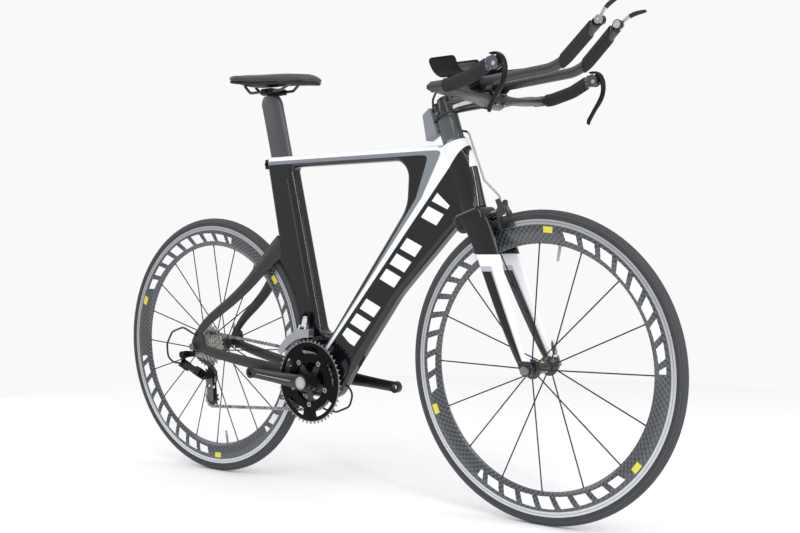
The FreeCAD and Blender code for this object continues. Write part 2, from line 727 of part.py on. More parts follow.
def fork():
    stations = [(1.0, 0.462928, 29, 78, 20), (0.82866, 0.366355, 35, 69, 19),
                (0.704050, 0.313396, 39, 60, 17),
                (0.517134, 0.241745, 43.5, 51, 15), (0.299065, 0.154517, 48, 41, 12.5),
                (0.118380, 0.076636, 51.5, 31, 9.5), (0.043614, 0.039252, 53, 27, 7.5)]
    length = TYRE_R - LEG_TOP_GAP
    leg = loft([ellipse_wire(Vector(FRONT_X - length * back, y, AXLE_Z + length * up), Vector(1, 0, 0),
                             Vector(0, 1, 0), chord / 2, width / 2)
                for up, back, y, chord, width in stations])
    end_y = FRONT_OLD / 2 + DROPOUT_THICK / 2
    corners = [(FRONT_X - 27, AXLE_Z + 24, 4), (FRONT_X + 5, AXLE_Z + 22, 6), (FRONT_X + 13, AXLE_Z - 2, 7),
               (FRONT_X + 8, AXLE_Z - 13, 5), (FRONT_X - 14, AXLE_Z - 12, 8)]
    tip = Part.Face(rounded_wire(corners, end_y - DROPOUT_THICK / 2)).extrude(Vector(0, DROPOUT_THICK, 0))
    slot_r = AXLE_END_R + 0.1
    slot = rod(FRONT_AXLE + Vector(0, 20, 0), FRONT_AXLE + Vector(0, 90, 0), slot_r)
    mouth = box(FRONT_AXLE + Vector(-slot_r, 20, -40), FRONT_AXLE + Vector(slot_r, 90, 0))
    left = joined([leg, tip]).cut(slot).cut(mouth)
    outline = [axis_point(CROWN_TOP_S, -CROWN_REAR), axis_point(CROWN_TOP_S, CROWN_FRONT),
               axis_point(CROWN_TOP_S - CROWN_HEIGHT, CROWN_FRONT),
               axis_point(CROWN_TOP_S - CROWN_HEIGHT, -CROWN_REAR)]
    radii = (14, 12, 12, 16)
    crown = slab([(p.x, p.z, r) for p, r in zip(outline, radii)], CROWN_HALF_WIDTH, CROWN_EDGE_R)
    room_half = TYRE_SECTION_R + FORK_TYRE_GAP
    room = rod(FRONT_AXLE + Vector(0, -room_half, 0), FRONT_AXLE + Vector(0, room_half, 0),
               TYRE_R + FORK_TYRE_GAP)
    steerer = rod(axis_point(CROWN_TOP_S - 12), axis_point(STEM_S + STEM_HEIGHT - 4), STEERER_R)
    whole = joined([crown, left, mirror_y(left)]).cut(room)
    bolt = rod(brake_point(FRONT_BRAKE, BRAKE_PIVOT_R, -60, 0),
               brake_point(FRONT_BRAKE, BRAKE_PIVOT_R, 60, 0),
               BRAKE_BOLT_R)
    return joined([whole, steerer]).cut(bolt)


def aero_block(low, high, nose, half_width, tail, taper=0.0):
    """Teardrop block round the steerer between two heights along the steering axis."""
    wires = [ellipse_wire(axis_point(s), AXIS_FORWARD, Vector(0, 1, 0), nose - t, half_width - t, tail - t)
             for s, t in ((low, 0.0), (high, taper))]
    bore = rod(axis_point(low - 1), axis_point(high + 1), STEERER_R + RUNNING)
    return loft(wires, True).cut(bore)


def headset_spacers():
    cover = aero_block(COVER_S, COVER_S + TOP_COVER_HEIGHT, SPACER_NOSE + 5, SPACER_NOSE + 3,
                       SPACER_TAIL + 4, 4.0)
    blocks = [cover]
    for i in range(2):
        low = SPACER_S + i * SPACER_HEIGHT
        blocks.append(aero_block(low, low + SPACER_HEIGHT, SPACER_NOSE, SPACER_NOSE - 1, SPACER_TAIL))
    return blocks


def tail_cover():
    """Grey fairing box behind the spacers, which takes in the control cables."""
    low = SPACER_S + 28
    high = STEM_S + 33
    front = -SPACER_TAIL - GAP
    corners = [axis_point(low, front - 2), axis_point(high, front - 2), axis_point(high - 9, front - 27),
               axis_point(low - 7, front - 36)]
    body = slab([(p.x, p.z, 3) for p in corners], TAIL_COVER_WIDTH / 2, 2.5)
    foot = box(Vector(-6, -7, low + 8), Vector(0, 7, STEM_S - 2))
    foot.Placement = Placement(AXIS_BASE + AXIS_FORWARD * (front + 0.5),
                               Rotation(Vector(0, 1, 0), -(90 - HEAD_ANGLE)))
    return joined([body, foot]).cut(headset_keepout())


def headset_keepout():
    wires = [ellipse_wire(axis_point(s), AXIS_FORWARD, Vector(0, 1, 0), SPACER_NOSE, SPACER_NOSE - 1,
                          SPACER_TAIL)
             for s in (SPACER_S, STEM_S)]
    return loft(wires, True)


def stem(bar_solid, spacers):
    bar = Vector(BASE_BAR_X, 0, BASE_BAR_Z)
    top_s = STEM_S + STEM_HEIGHT
    collar = rod(axis_point(STEM_S), axis_point(top_s), STEM_CLAMP_R)
    ears = box(Vector(-STEM_CLAMP_R - 9, -10, STEM_S + 3), Vector(-STEM_CLAMP_R + 6, 10, top_s - 3))
    ears.Placement = Placement(AXIS_BASE, Rotation(Vector(0, 1, 0), -(90 - HEAD_ANGLE)))
    start = axis_point(STEM_S + STEM_HEIGHT / 2)
    wires = []
    for t, height, width in ((0.0, 35, 34), (0.35, 33, 33), (0.75, 30, 34), (1.0, 32, 40)):
        wires.append(ellipse_wire(start + (bar - start) * t, Vector(0, 0, 1), Vector(0, 1, 0), height / 2,
                                  width / 2))
    clamp = rod(bar + Vector(0, -STEM_BAR_HALF, 0), bar + Vector(0, STEM_BAR_HALF, 0), BAR_CLAMP_R + 5)
    whole = joined([collar, ears, loft(wires), clamp])
    whole = whole.cut(rod(axis_point(STEM_S - 40), axis_point(top_s - 3), STEERER_R + RUNNING))
    whole = whole.cut(rod(bar + Vector(0, -60, 0), bar + Vector(0, 60, 0), BAR_CLAMP_R + RUNNING))
    slit = box(axis_point(STEM_S - 5, -60, -1), axis_point(STEM_S - 5, -60, 1) + Vector(48, 0, 80))
    face_slit = box(bar + Vector(5, -60, 14), bar + Vector(6.5, 60, 40))
    for other in [slit, face_slit, bar_solid] + spacers:
        whole = whole.cut(other)
    return max(whole.Solids, key=lambda solid: solid.Volume)


def stem_bolts(stem_body):
    bolts = []
    for s in (STEM_S + 11, STEM_S + STEM_HEIGHT - 11):
        centre = axis_point(s, -STEM_CLAMP_R - 4)
        bolts.append(socket_bolt(centre + Vector(0, -10, 0), Vector(0, -1, 0), 3.6))
    for y in (-14, 14):
        for z in (-13, 13):
            centre = Vector(BASE_BAR_X + BAR_CLAMP_R + 6.6, y, BASE_BAR_Z + z * 0.75)
            shank = rod(centre + Vector(-6, 0, 0), centre, 3.6).cut(stem_body)
            whole = joined([shank, socket_bolt(centre, Vector(1, 0, 0), 3.6)])
            bolts.append(max(whole.Solids, key=lambda solid: solid.CenterOfMass.x))
    top = axis_point(STEM_S + STEM_HEIGHT + 0.1)
    bolts.append(rod(top, top + AXIS_DIR * 3, 15.0).cut(rod(top + AXIS_DIR, top + AXIS_DIR * 4, 3.0)))
    return bolts


def socket_bolt(seat, out, radius):
    """Cap screw head standing on a seat, with its key socket."""
    head = rod(seat, seat + out * radius * 1.1, radius)
    return head.cut(rod(seat + out * radius * 0.4, seat + out * radius * 1.3, radius * 0.5))


def base_bar():
    stations = [(0, BASE_BAR_X, BASE_BAR_Z, BAR_CLAMP_R, BAR_CLAMP_R),
                (26, BASE_BAR_X, BASE_BAR_Z, BAR_CLAMP_R, BAR_CLAMP_R),
                (62, BASE_BAR_X - 1, BASE_BAR_Z + 2, BASE_BAR_CHORD / 2, 10.5),
                (130, BASE_BAR_X - 6, BASE_BAR_Z + 8, BASE_BAR_CHORD / 2, BASE_BAR_THICK / 2),
                (176, BASE_BAR_X - 8, BASE_BAR_Z + 12, BASE_BAR_CHORD / 2, BASE_BAR_THICK / 2 + 0.5),
                (HORN_Y + 6, BASE_BAR_X - 6, BASE_BAR_Z + 13, BASE_BAR_CHORD / 2 - 4, HORN_R - 2)]
    wires = [ellipse_wire(Vector(x, y, z), Vector(1, 0, 0), Vector(0, 0, 1), chord, thick)
             for y, x, z, chord, thick in stations]
    half = joined([loft(wires), route(horn_points(), HORN_R, HORN_BEND)])
    return joined([half, mirror_y(half)])


def horn_points():
    return [Vector(BASE_BAR_X - 16, HORN_Y, BASE_BAR_Z + 13),
            Vector(BASE_BAR_X + 30, HORN_Y, BASE_BAR_Z + 14),
            Vector(BASE_BAR_X + 84, HORN_Y, BASE_BAR_Z + 27), Vector(HORN_END_X, HORN_Y, HORN_END_Z)]


def bar_tape(bar):
    fat = route(horn_points(), HORN_R + TAPE_THICK, HORN_BEND)
    span = box(Vector(TAPE_START_X, 0, BASE_BAR_Z - 99),
               Vector(HORN_END_X - 1, 2 * HORN_Y, HORN_END_Z + 99))
    sleeve = fat.common(span).cut(bar)
    grip = route(extension_points(), EXTENSION_R + TAPE_THICK, EXTENSION_BEND)
    grip_span = box(Vector(GRIP_START_X, 0, EXTENSION_Z - 99),
                    Vector(GRIP_END_X, 4 * EXTENSION_Y, EXTENSION_TIP_Z + 99))
    grip = grip.common(grip_span).cut(route(extension_points(), EXTENSION_R, EXTENSION_BEND))
    left = [max(s.Solids, key=lambda solid: solid.Volume) for s in (sleeve, grip)]
    return left + [mirror_y(s) for s in left]


def extension_points():
    return [Vector(EXTENSION_REAR_X, EXTENSION_Y, EXTENSION_Z),
            Vector(EXTENSION_TIP_X - EXTENSION_KNEE, EXTENSION_Y, EXTENSION_Z + 21),
            Vector(EXTENSION_TIP_X, EXTENSION_Y - 4, EXTENSION_TIP_Z)]


def extensions():
    left = route(extension_points(), EXTENSION_R, EXTENSION_BEND)
    return [left, mirror_y(left)]


def armrests():
    """Clamps on the extensions, risers to the base bar, and the cups that carry the pads."""
    slope = (extension_points()[1] - extension_points()[0]).normalize()
    middle = extension_points()[0] + slope * ((BASE_BAR_X - 8 - EXTENSION_REAR_X) / slope.x)
    outer_r = EXTENSION_R + 5
    clamp = rod(middle - slope * 13, middle + slope * 13, outer_r)
    riser = box(Vector(middle.x - 10, EXTENSION_Y - 9, BASE_BAR_Z),
                Vector(middle.x + 10, EXTENSION_Y + 9, middle.z))
    cup_low = ARMREST_Z - ARMREST_CUP_R
    arm_stations = [(middle + Vector(-2, 6, 9), 11, 6), (Vector(middle.x - 22, 68, cup_low - 8), 13, 4),
                    (Vector(ARMREST_X, ARMREST_Y, cup_low - 2), 20, 3.5)]
    arm = loft([ellipse_wire(p, Vector(1, 0, 0), Vector(0, 0, 1), w, h) for p, w, h in arm_stations])
    cup = trough(ARMREST_CUP_R, ARMREST_CUP_R - 3, 76, ARMREST_LENGTH)
    bore = rod(middle - slope * 40, middle + slope * 40, EXTENSION_R + RUNNING)
    inside = rod(Vector(ARMREST_X - 99, ARMREST_Y, ARMREST_Z), Vector(ARMREST_X + 99, ARMREST_Y, ARMREST_Z),
                 ARMREST_CUP_R - 3)
    left = joined([clamp, riser, arm, cup]).cut(bore).cut(inside)
    left = max(left.cut(base_bar()).Solids, key=lambda solid: solid.Volume)
    return [left, mirror_y(left)]


def trough(outer, inner, half_angle, length):
    """Part of a round trough over the forearm line, open upwards."""
    def at(radius, degrees):
        a = math.radians(degrees)
        return Vector(ARMREST_X - length / 2, ARMREST_Y + radius * math.sin(a),
                      ARMREST_Z - radius * math.cos(a))
    edges = [Part.Arc(at(outer, -half_angle), at(outer, 0), at(outer, half_angle)).toShape(),
             Part.LineSegment(at(outer, half_angle), at(inner, half_angle)).toShape(),
             Part.Arc(at(inner, half_angle), at(inner, 0), at(inner, -half_angle)).toShape(),
             Part.LineSegment(at(inner, -half_angle), at(outer, -half_angle)).toShape()]
    solid = Part.Face(Part.Wire(edges)).extrude(Vector(length, 0, 0))
    upright = [e for e in solid.Edges if e.BoundBox.XLength < 1e-6 and e.Length < (outer - inner) * 1.01]
    return solid.makeFillet((outer - inner) * 3, upright) if outer - inner < 4 else solid


def armrest_pads():
    inner = ARMREST_CUP_R - 3 - ARMREST_PAD_THICK
    pad = trough(ARMREST_CUP_R - 3 - GAP, inner, 66, ARMREST_LENGTH - 8)
    rims = [e for e in pad.Edges if e.BoundBox.ZMax < ARMREST_Z + 50]
    left = pad.makeFillet(2.5, rims)
    return [left, mirror_y(left)]


# Seat

def seatpost():
    low = TOP_TUBE_TOP - POST_INSERTION
    neck = POST_HEAD_Z - 30
    wires = [post_section(low, 0.0), post_section(neck, 0.0)]
    body = loft(wires, True)
    head = loft([post_section(neck, 0.0), post_section(POST_HEAD_Z - 10, 0.0, POST_CHORD * 0.9),
                 post_section(POST_HEAD_Z, 0.0, POST_CHORD * 0.68)])
    return joined([body, head])


def rail_points(side):
    return [Vector(CLAMP_X - SADDLE_LENGTH * 0.311111, side * 19, RAIL_Z + 19),
            Vector(CLAMP_X - SADDLE_LENGTH * 0.22963, side * RAIL_HALF_SPACING, RAIL_Z),
            Vector(CLAMP_X + SADDLE_LENGTH * 0.17037, side * RAIL_HALF_SPACING, RAIL_Z),
            Vector(CLAMP_X + SADDLE_LENGTH * 0.311111, side * 13, RAIL_Z + 20)]


def saddle_stations():
    """Sections from nose to tail: share of the length, half width, height, depth above and below."""
    half = SADDLE_WIDTH / 2
    nose = SADDLE_NOSE_WIDTH
    sections = [(0, 6, 13, 4, 4), (0.033333, nose * 0.38, 14, 9, 6), (0.140741, nose * 0.5, 19, 12, 8),
                (0.325926, nose * 0.63, 24, 13, 9), (0.511111, nose * 0.9, 27, 14, 9),
                (0.696296, half * 0.78, 29, 14, 9), (0.862963, half, 33, 13, 8),
                (0.955556, half * 0.9, 37, 10, 7), (1, half * 0.58, 39, 5, 5)]
    return [(SADDLE_NOSE_X - SADDLE_LENGTH * share, wide, RAIL_Z + rise, top, bottom)
            for share, wide, rise, top, bottom in sections]


def saddle_pad():
    """Padding with a crowned top and drawn-in sides, wide at the back and narrow at the nose."""
    wires = [ellipse_wire(Vector(x, 0, z), Vector(0, 0, 1), Vector(0, 1, 0), top, half, bottom)
             for x, half, z, top, bottom in saddle_stations()]
    return loft(wires)


def saddle_shell(pad):
    wires = [ellipse_wire(Vector(x, 0, z - 4), Vector(0, 0, 1), Vector(0, 1, 0), 6, half - 3.5,
                          bottom + 1.5)
             for x, half, z, top, bottom in saddle_stations()[1:-1]]
    parts = loft(wires).cut(pad).Solids
    return max(parts, key=lambda solid: solid.Volume)


def saddle_rails(shell, pad):
    rails = [route(rail_points(side), RAIL_R, 20) for side in (-1, 1)]
    return [max(rail.cut(shell).cut(pad).Solids, key=lambda solid: solid.Volume) for rail in rails]


def saddle_clamp():
    low = Vector(CLAMP_X - CLAMP_LENGTH / 2, -CLAMP_HALF_WIDTH, RAIL_Z - CLAMP_HALF_HEIGHT)
    high = Vector(CLAMP_X + CLAMP_LENGTH / 2, CLAMP_HALF_WIDTH, RAIL_Z + CLAMP_HALF_HEIGHT)
    jaws = box(low, high)
    jaws = jaws.makeFillet(3.0, jaws.Edges)
    foot = box(Vector(CLAMP_X - 14, -11, POST_HEAD_Z),
               Vector(CLAMP_X + 18, 11, RAIL_Z - CLAMP_HALF_HEIGHT + 2))
    bolt = rod(Vector(CLAMP_X, -CLAMP_HALF_WIDTH - 5, RAIL_Z),
               Vector(CLAMP_X, CLAMP_HALF_WIDTH + 5, RAIL_Z), 4.5)
    clamp = joined([jaws, foot, bolt])
    for side in (-1, 1):
        groove = rod(Vector(CLAMP_X - 60, side * RAIL_HALF_SPACING, RAIL_Z),
                     Vector(CLAMP_X + 60, side * RAIL_HALF_SPACING, RAIL_Z), RAIL_R + RUNNING)
        clamp = clamp.cut(groove)
    return clamp


# Levers

def brake_lever_body(bar_solid):
    """Plug in the horn's end with a cheek on each side of the lever's tongue and the pin through them."""
    pivot = Vector(LEVER_PIVOT_X, HORN_Y, LEVER_PIVOT_Z)
    start = Vector(HORN_END_X, HORN_Y, HORN_END_Z)
    outline = ((start.x - pivot.x + 2.5, -9), (0, -11), (9, -6), (10, 5), (5, 14), (-2, 16.5),
               (start.x - pivot.x + 2.5, 13))
    low = LEVER_TONGUE_HALF + GAP
    shapes = [rod(start, start + Vector(5, 0, 1.5), HORN_R)]
    for sign in (-1, 1):
        y = HORN_Y + sign * (low + LEVER_CHEEK_THICK / 2)
        shapes.append(plate([Vector(pivot.x + dx, y, pivot.z + dz) for dx, dz in outline],
                            LEVER_CHEEK_THICK, Vector(0, 1, 0)))
    pin_half = low + LEVER_CHEEK_THICK + 1.5
    shapes.append(rod(pivot + Vector(0, -pin_half, 0), pivot + Vector(0, pin_half, 0), PIVOT_PIN_R))
    return joined(shapes).cut(bar_solid)


def brake_lever():
    """Curved blade over the body's top and front, on a tongue between the body's cheeks."""
    pivot = Vector(LEVER_PIVOT_X, HORN_Y, LEVER_PIVOT_Z)
    half = LEVER_TONGUE_HALF
    tongue = rod(pivot + Vector(0, -half, 0), pivot + Vector(0, half, 0), 8.0)
    web = plate([pivot + Vector(dx, 0, dz) for dx, dz in ((-6, 4), (6, -5), (18, 0), (6, 19))], 2 * half,
                Vector(0, 1, 0))
    wide = half + GAP + LEVER_CHEEK_THICK
    path = [(-10, 20.5, wide, 2), (2, 20.5, wide, 3), (11, 15.5, wide, 4), (18, 4, wide, 4.5),
            (21, -12, 8, 4.5), (18.5, -30, 7, 4.5), (10.5, -46, 6.5, 4.5), (-1, -62, 6, 4),
            (-11, -77, 6, 4), (-17, -93, 4, 3)]
    wires = []
    for i, (dx, dz, across_half, thick) in enumerate(path):
        before = path[max(i - 1, 0)]
        after = path[min(i + 1, len(path) - 1)]
        run = Vector(after[0] - before[0], 0, after[1] - before[1]).normalize()
        across = Vector(-run.z, 0, run.x)
        wires.append(ellipse_wire(pivot + Vector(dx, 0, dz), Vector(0, 1, 0), across, across_half, thick))
    bore = rod(pivot + Vector(0, -40, 0), pivot + Vector(0, 40, 0), PIVOT_PIN_R + RUNNING)
    return joined([tongue, web, loft(wires)]).cut(bore)


def shifter_pivot():
    tip = extension_points()[-1]
    out = (tip - extension_points()[-2]).normalize()
    return tip + out * SHIFTER_REACH


def shifter_body():
    tip = extension_points()[-1]
    pivot = shifter_pivot()
    plug = rod(tip, tip + (pivot - tip) * 0.6, EXTENSION_R)
    disc = rod(pivot + Vector(0, -SHIFTER_DISC, 0), pivot, SHIFTER_DISC)
    neck = rod(tip, pivot + Vector(0, -4, 0), 6.0)
    cheek = joined([plug, disc, neck])
    pin_end = SHIFTER_HUB_THICK + GAP + 1.0
    lever_room = rod(pivot, pivot + Vector(0, 40, 0), SHIFTER_DISC + 2)
    pin = rod(pivot, pivot + Vector(0, pin_end, 0), PIVOT_PIN_R)
    return joined([cheek.cut(lever_room).cut(extensions()[0]), pin])


def shift_lever(angle):
    pivot = shifter_pivot() + Vector(0, GAP, 0)
    hub_disc = rod(pivot, pivot + Vector(0, SHIFTER_HUB_THICK, 0), SHIFTER_DISC - 1)
    middle = pivot + Vector(0, SHIFTER_HUB_THICK / 2, 0)
    out = Vector(math.cos(math.radians(angle)), 0, math.sin(math.radians(angle)))
    across = Vector(-out.z, 0, out.x)
    path = ((0, 0, 6, 2.6), (14, 2, 4.5, 2.6), (28, 2, 4.8, 3.6), (50, -4, 4.6, 3.6), (62, -9, 3.2, 2.4))
    wires = [ellipse_wire(middle + out * along + across * lift, across, Vector(0, 1, 0), high, wide)
             for along, lift, high, wide in path]
    bore = rod(pivot + Vector(0, -5, 0), pivot + Vector(0, 20, 0), PIVOT_PIN_R + RUNNING)
    return joined([hub_disc, loft(wires)]).cut(bore)


# Brakes

def brake_axes(brake):
    out = brake_point(brake, 1, 0, 0) - brake_point(brake, 0, 0, 0)
    along = brake_point(brake, 0, 1, 0) - brake_point(brake, 0, 0, 0)
    return out, along


def brake_mount(brake, carrier):
    """Centre bolt with its nut and the sleeve that stands on the fork or frame."""
    out, along = brake_axes(brake)
    pivot = brake_point(brake, BRAKE_PIVOT_R, 0, 0)
    reach = BRAKE_ARM_THICK + 2 * GAP
    bolt = rod(pivot - along * BRAKE_BOLT_BACK, pivot + along * (reach + 3), BRAKE_BOLT_R - RUNNING)
    nut = rod(pivot + along * (reach + GAP), pivot + along * (reach + 4), 6.5)
    sleeve = rod(pivot - along * BRAKE_BOLT_BACK, pivot - along * (reach + GAP), 7.0).cut(carrier)
    shown = max(sleeve.Solids, key=lambda solid: solid.CenterOfMass.dot(along))
    return joined([bolt, nut, shown])


def brake_arm(brake, side):
    """Caliper arm on the centre bolt that reaches past the tyre to its brake pad."""
    out, along = brake_axes(brake)

    def at(across, radius, forward):
        return brake_point(brake, radius, forward, side * across)

    centre = side * -(BRAKE_ARM_THICK / 2 + GAP)
    shape = [(0, 9), (6, 10), (17, 24), (25, 22), (22, 7), (31, -3), (34, -17), (34, -47), (27, -47),
             (25, -23),
             (16, -9), (0, -9)]
    outline = [(across, BRAKE_PIVOT_R + rise) for across, rise in shape]
    arm = plate([at(a, r, centre) for a, r in outline], BRAKE_ARM_THICK, along)
    pivot = brake_point(brake, BRAKE_PIVOT_R, centre, 0)
    half = along * (BRAKE_ARM_THICK / 2)
    hub_ring = rod(pivot - half, pivot + half, 9.0)
    track_r = (RIM_R + TRACK_INNER_R) / 2
    face = RIM_WIDTH / 2 + BRAKE_PAD_GAP
    pad = plate([at(face, track_r - 4.5, 0), at(face, track_r + 4.5, 0), at(face + 8, track_r + 4.5, 0),
                 at(face + 8, track_r - 4.5, 0)], BRAKE_PAD_LENGTH, along)
    stud = rod(at(face + 6, track_r, centre), at(36, track_r, centre), 4.0)
    bore = rod(pivot - along * 40, pivot + along * 40, BRAKE_BOLT_R)
    return joined([arm, hub_ring, pad, stud]).cut(bore)


# Drive train

def flat(point):
    """Side-view pair (x, z) of a point."""
    return point.x, point.z


def tangent(first, second):
    """Tangent run between two wrapped circles (x, z, radius, sense), sense 1 for clockwise."""
    x1, z1, r1, s1 = first
    x2, z2, r2, s2 = second
    span = math.hypot(x2 - x1, z2 - z1)
    heading = math.atan2(z2 - z1, x2 - x1) - math.asin((s1 * r1 - s2 * r2) / span)
    normal = (-math.sin(heading), math.cos(heading))
    start = (x1 + s1 * r1 * normal[0], z1 + s1 * r1 * normal[1])
    end = (x2 + s2 * r2 * normal[0], z2 + s2 * r2 * normal[1])
    return start, end


def chain_circles(cage_angle):
    tension = (GUIDE_X + TENSION_DISTANCE * math.cos(cage_angle),
               GUIDE_Z + TENSION_DISTANCE * math.sin(cage_angle))
    pulley = sprocket_r(PULLEY_TEETH)
    return [(*flat(REAR_AXLE), sprocket_r(CHAIN_COG), 1), (*flat(BB), sprocket_r(INNER_RING_TEETH), 1),
            (*tension, pulley, 1), (GUIDE_X, GUIDE_Z, pulley, -1)]


CHAIN_TEETH = [CHAIN_COG, INNER_RING_TEETH, PULLEY_TEETH, PULLEY_TEETH]


def chain_spans(cage_angle):
    """The loop as runs and wraps, each with its length counted in chain pitches."""
    circles = chain_circles(cage_angle)
    runs = [tangent(circles[i], circles[(i + 1) % 4]) for i in range(4)]
    spans = []
    for i in range(4):
        start, end = runs[i]
        spans.append(("run", start, end, math.dist(start, end) / CHAIN_PITCH))
        x, z, r, sense = circles[(i + 1) % 4]
        teeth = CHAIN_TEETH[(i + 1) % 4]
        leave = runs[(i + 1) % 4][0]
        enter_angle = math.atan2(end[1] - z, end[0] - x)
        leave_angle = math.atan2(leave[1] - z, leave[0] - x)
        turn = (sense * (enter_angle - leave_angle)) % (2 * math.pi)
        spans.append(("wrap", (x, z, r, sense), (enter_angle, turn), turn * teeth / (2 * math.pi)))
    return spans


def chain_count(cage_angle):
    return sum(span[3] for span in chain_spans(cage_angle))


def solve_cage_angle():
    """Cage angle, from hanging straight down forwards, at which the loop is an even number of links."""
    low = math.radians(-112)
    high = math.radians(-68)
    wanted = 2 * round(chain_count(math.radians(-84)) / 2)
    rising = chain_count(high) > chain_count(low)
    for _ in range(60):
        middle = (low + high) / 2
        if (chain_count(middle) < wanted) == rising:
            low = middle
        else:
            high = middle
    return middle, wanted


CAGE_ANGLE, CHAIN_LINKS = solve_cage_angle()
TENSION = Vector(GUIDE_X + TENSION_DISTANCE * math.cos(CAGE_ANGLE), CHAIN_Y,
                 GUIDE_Z + TENSION_DISTANCE * math.sin(CAGE_ANGLE))
GUIDE = Vector(GUIDE_X, CHAIN_Y, GUIDE_Z)


def chain_pins():
    """Pin centres all round the loop, and the angle of one pin on each sprocket."""
    pins = []
    phases = {}
    position = 0.0
    count = 0
    for i, (kind, first, second, length) in enumerate(chain_spans(CAGE_ANGLE)):
        while count < position + length - 1e-9 and count < CHAIN_LINKS:
            along = count - position
            if kind == "run":
                t = along / length
                pins.append(Vector(first[0] + (second[0] - first[0]) * t, CHAIN_Y,
                                   first[1] + (second[1] - first[1]) * t))
            else:
                x, z, r, sense = first
                enter_angle, turn = second
                angle = enter_angle - sense * turn * along / length
                phases.setdefault((i + 1) // 2 % 4, angle)
                pins.append(Vector(x + r * math.cos(angle), CHAIN_Y, z + r * math.sin(angle)))
            count += 1
        position += length
    return pins, phases


def chain():
    """Rollers on their pins, with a plate on each side between every pair of pins."""
    pins = chain_pins()[0]
    links = []
    for i, pin in enumerate(pins):
        after = pins[(i + 1) % len(pins)]
        inner = CHAIN_ROLLER_HALF if i % 2 else CHAIN_ROLLER_HALF + CHAIN_PLATE_THICK
        links.append(rod(pin - Vector(0, CHAIN_ROLLER_HALF, 0), pin + Vector(0, CHAIN_ROLLER_HALF, 0),
                         CHAIN_ROLLER_R))
        run = (after - pin).normalize()
        up = Vector(-run.z, 0, run.x) * (CHAIN_PLATE_HEIGHT / 2)
        back = run * (CHAIN_PLATE_HEIGHT * 0.45)
        waist = (pin + after) * 0.5
        corners = [pin - back * 0.6 - up, waist - up * 0.72, after + back * 0.6 - up, after + back,
                   after + back * 0.6 + up, waist + up * 0.72, pin - back * 0.6 + up, pin - back]
        for side in (-1, 1):
            shift = Vector(0, side * (inner + CHAIN_PLATE_THICK / 2), 0)
            links.append(plate([c + shift for c in corners], CHAIN_PLATE_THICK, Vector(0, 1, 0)))
    return links


def toothed_disc(centre, teeth, thick, bore, pin_angle):
    """Sprocket whose gaps hold the chain's rollers, with one gap at the pin's angle."""
    pitch_r = sprocket_r(teeth)
    root = pitch_r - CHAIN_ROLLER_R - 0.35
    half_flank = [(root, 3.0), (pitch_r, 1.8), (pitch_r + 1.8, 0.8)]
    flank = [(r, -w) for r, w in half_flank] + [(r, w) for r, w in reversed(half_flank)]
    points = []
    for i in range(teeth):
        angle = pin_angle + (i + 0.5) * 2 * math.pi / teeth
        out = Vector(math.cos(angle), 0, math.sin(angle))
        side = Vector(-math.sin(angle), 0, math.cos(angle))
        points += [centre + out * r + side * w for r, w in flank]
    disc = plate(points, thick, Vector(0, 1, 0))
    return disc.cut(rod(centre + Vector(0, -20, 0), centre + Vector(0, 20, 0), bore))


def cassette(phases):
    chain_index = COGS.index(CHAIN_COG)
    cogs = []
    for i, teeth in enumerate(COGS):
        centre = Vector(REAR_X, CHAIN_Y + (i - chain_index) * COG_PITCH, AXLE_Z)
        cogs.append(toothed_disc(centre, teeth, COG_THICK, FREEHUB_R - 1, phases[0]))
    body = tube(Vector(REAR_X, -REAR_OLD / 2 + LOCKNUT_LENGTH + GAP, AXLE_Z),
                Vector(REAR_X, HUB_RIGHT_Y - GAP, AXLE_Z),
                FREEHUB_R, AXLE_R + RUNNING)
    return joined(cogs + [body])


def chainrings(phases):
    outer = toothed_disc(BB + Vector(0, OUTER_RING_Y, 0), OUTER_RING_TEETH, RING_THICK, RING_BORE_R,
                         phases[1])
    inner = toothed_disc(BB + Vector(0, CHAIN_Y, 0), INNER_RING_TEETH, RING_THICK, RING_BORE_R, phases[1])
    rings = []
    for ring_disc, y in ((outer, OUTER_RING_Y), (inner, CHAIN_Y)):
        for k in range(SPIDER_ARMS):
            bolt = spider_point(k, BOLT_CIRCLE_R)
            ring_disc = ring_disc.cut(rod(bolt + Vector(0, -70, 0), bolt + Vector(0, 0, 0), RING_BOLT_R))
            if y == OUTER_RING_Y:
                window = window_face(k, y).extrude(Vector(0, 10, 0))
                ring_disc = ring_disc.cut(window)
        rings.append(ring_disc)
    return rings


def window_face(k, y):
    """Curved window of the outer ring between two spider arms."""
    middle = SPIDER_ANGLE + (k + 0.5) * 2 * math.pi / SPIDER_ARMS
    spread = math.radians(21)

    def at(radius, angle):
        return Vector(BB_X + radius * math.cos(angle), y - 5, BB_Z + radius * math.sin(angle))

    low, high = WINDOW_LOW_R, WINDOW_HIGH_R
    edges = [Part.Arc(at(low, middle - spread), at(low, middle), at(low, middle + spread)).toShape(),
             Part.LineSegment(at(low, middle + spread), at(high, middle + spread)).toShape(),
             Part.Arc(at(high, middle + spread), at(high, middle), at(high, middle - spread)).toShape(),
             Part.LineSegment(at(high, middle - spread), at(low, middle - spread)).toShape()]
    return Part.Face(Part.Wire(edges))


def spider_point(k, radius):
    angle = SPIDER_ANGLE + k * 2 * math.pi / SPIDER_ARMS
    return BB + Vector(radius * math.cos(angle), 0, radius * math.sin(angle))


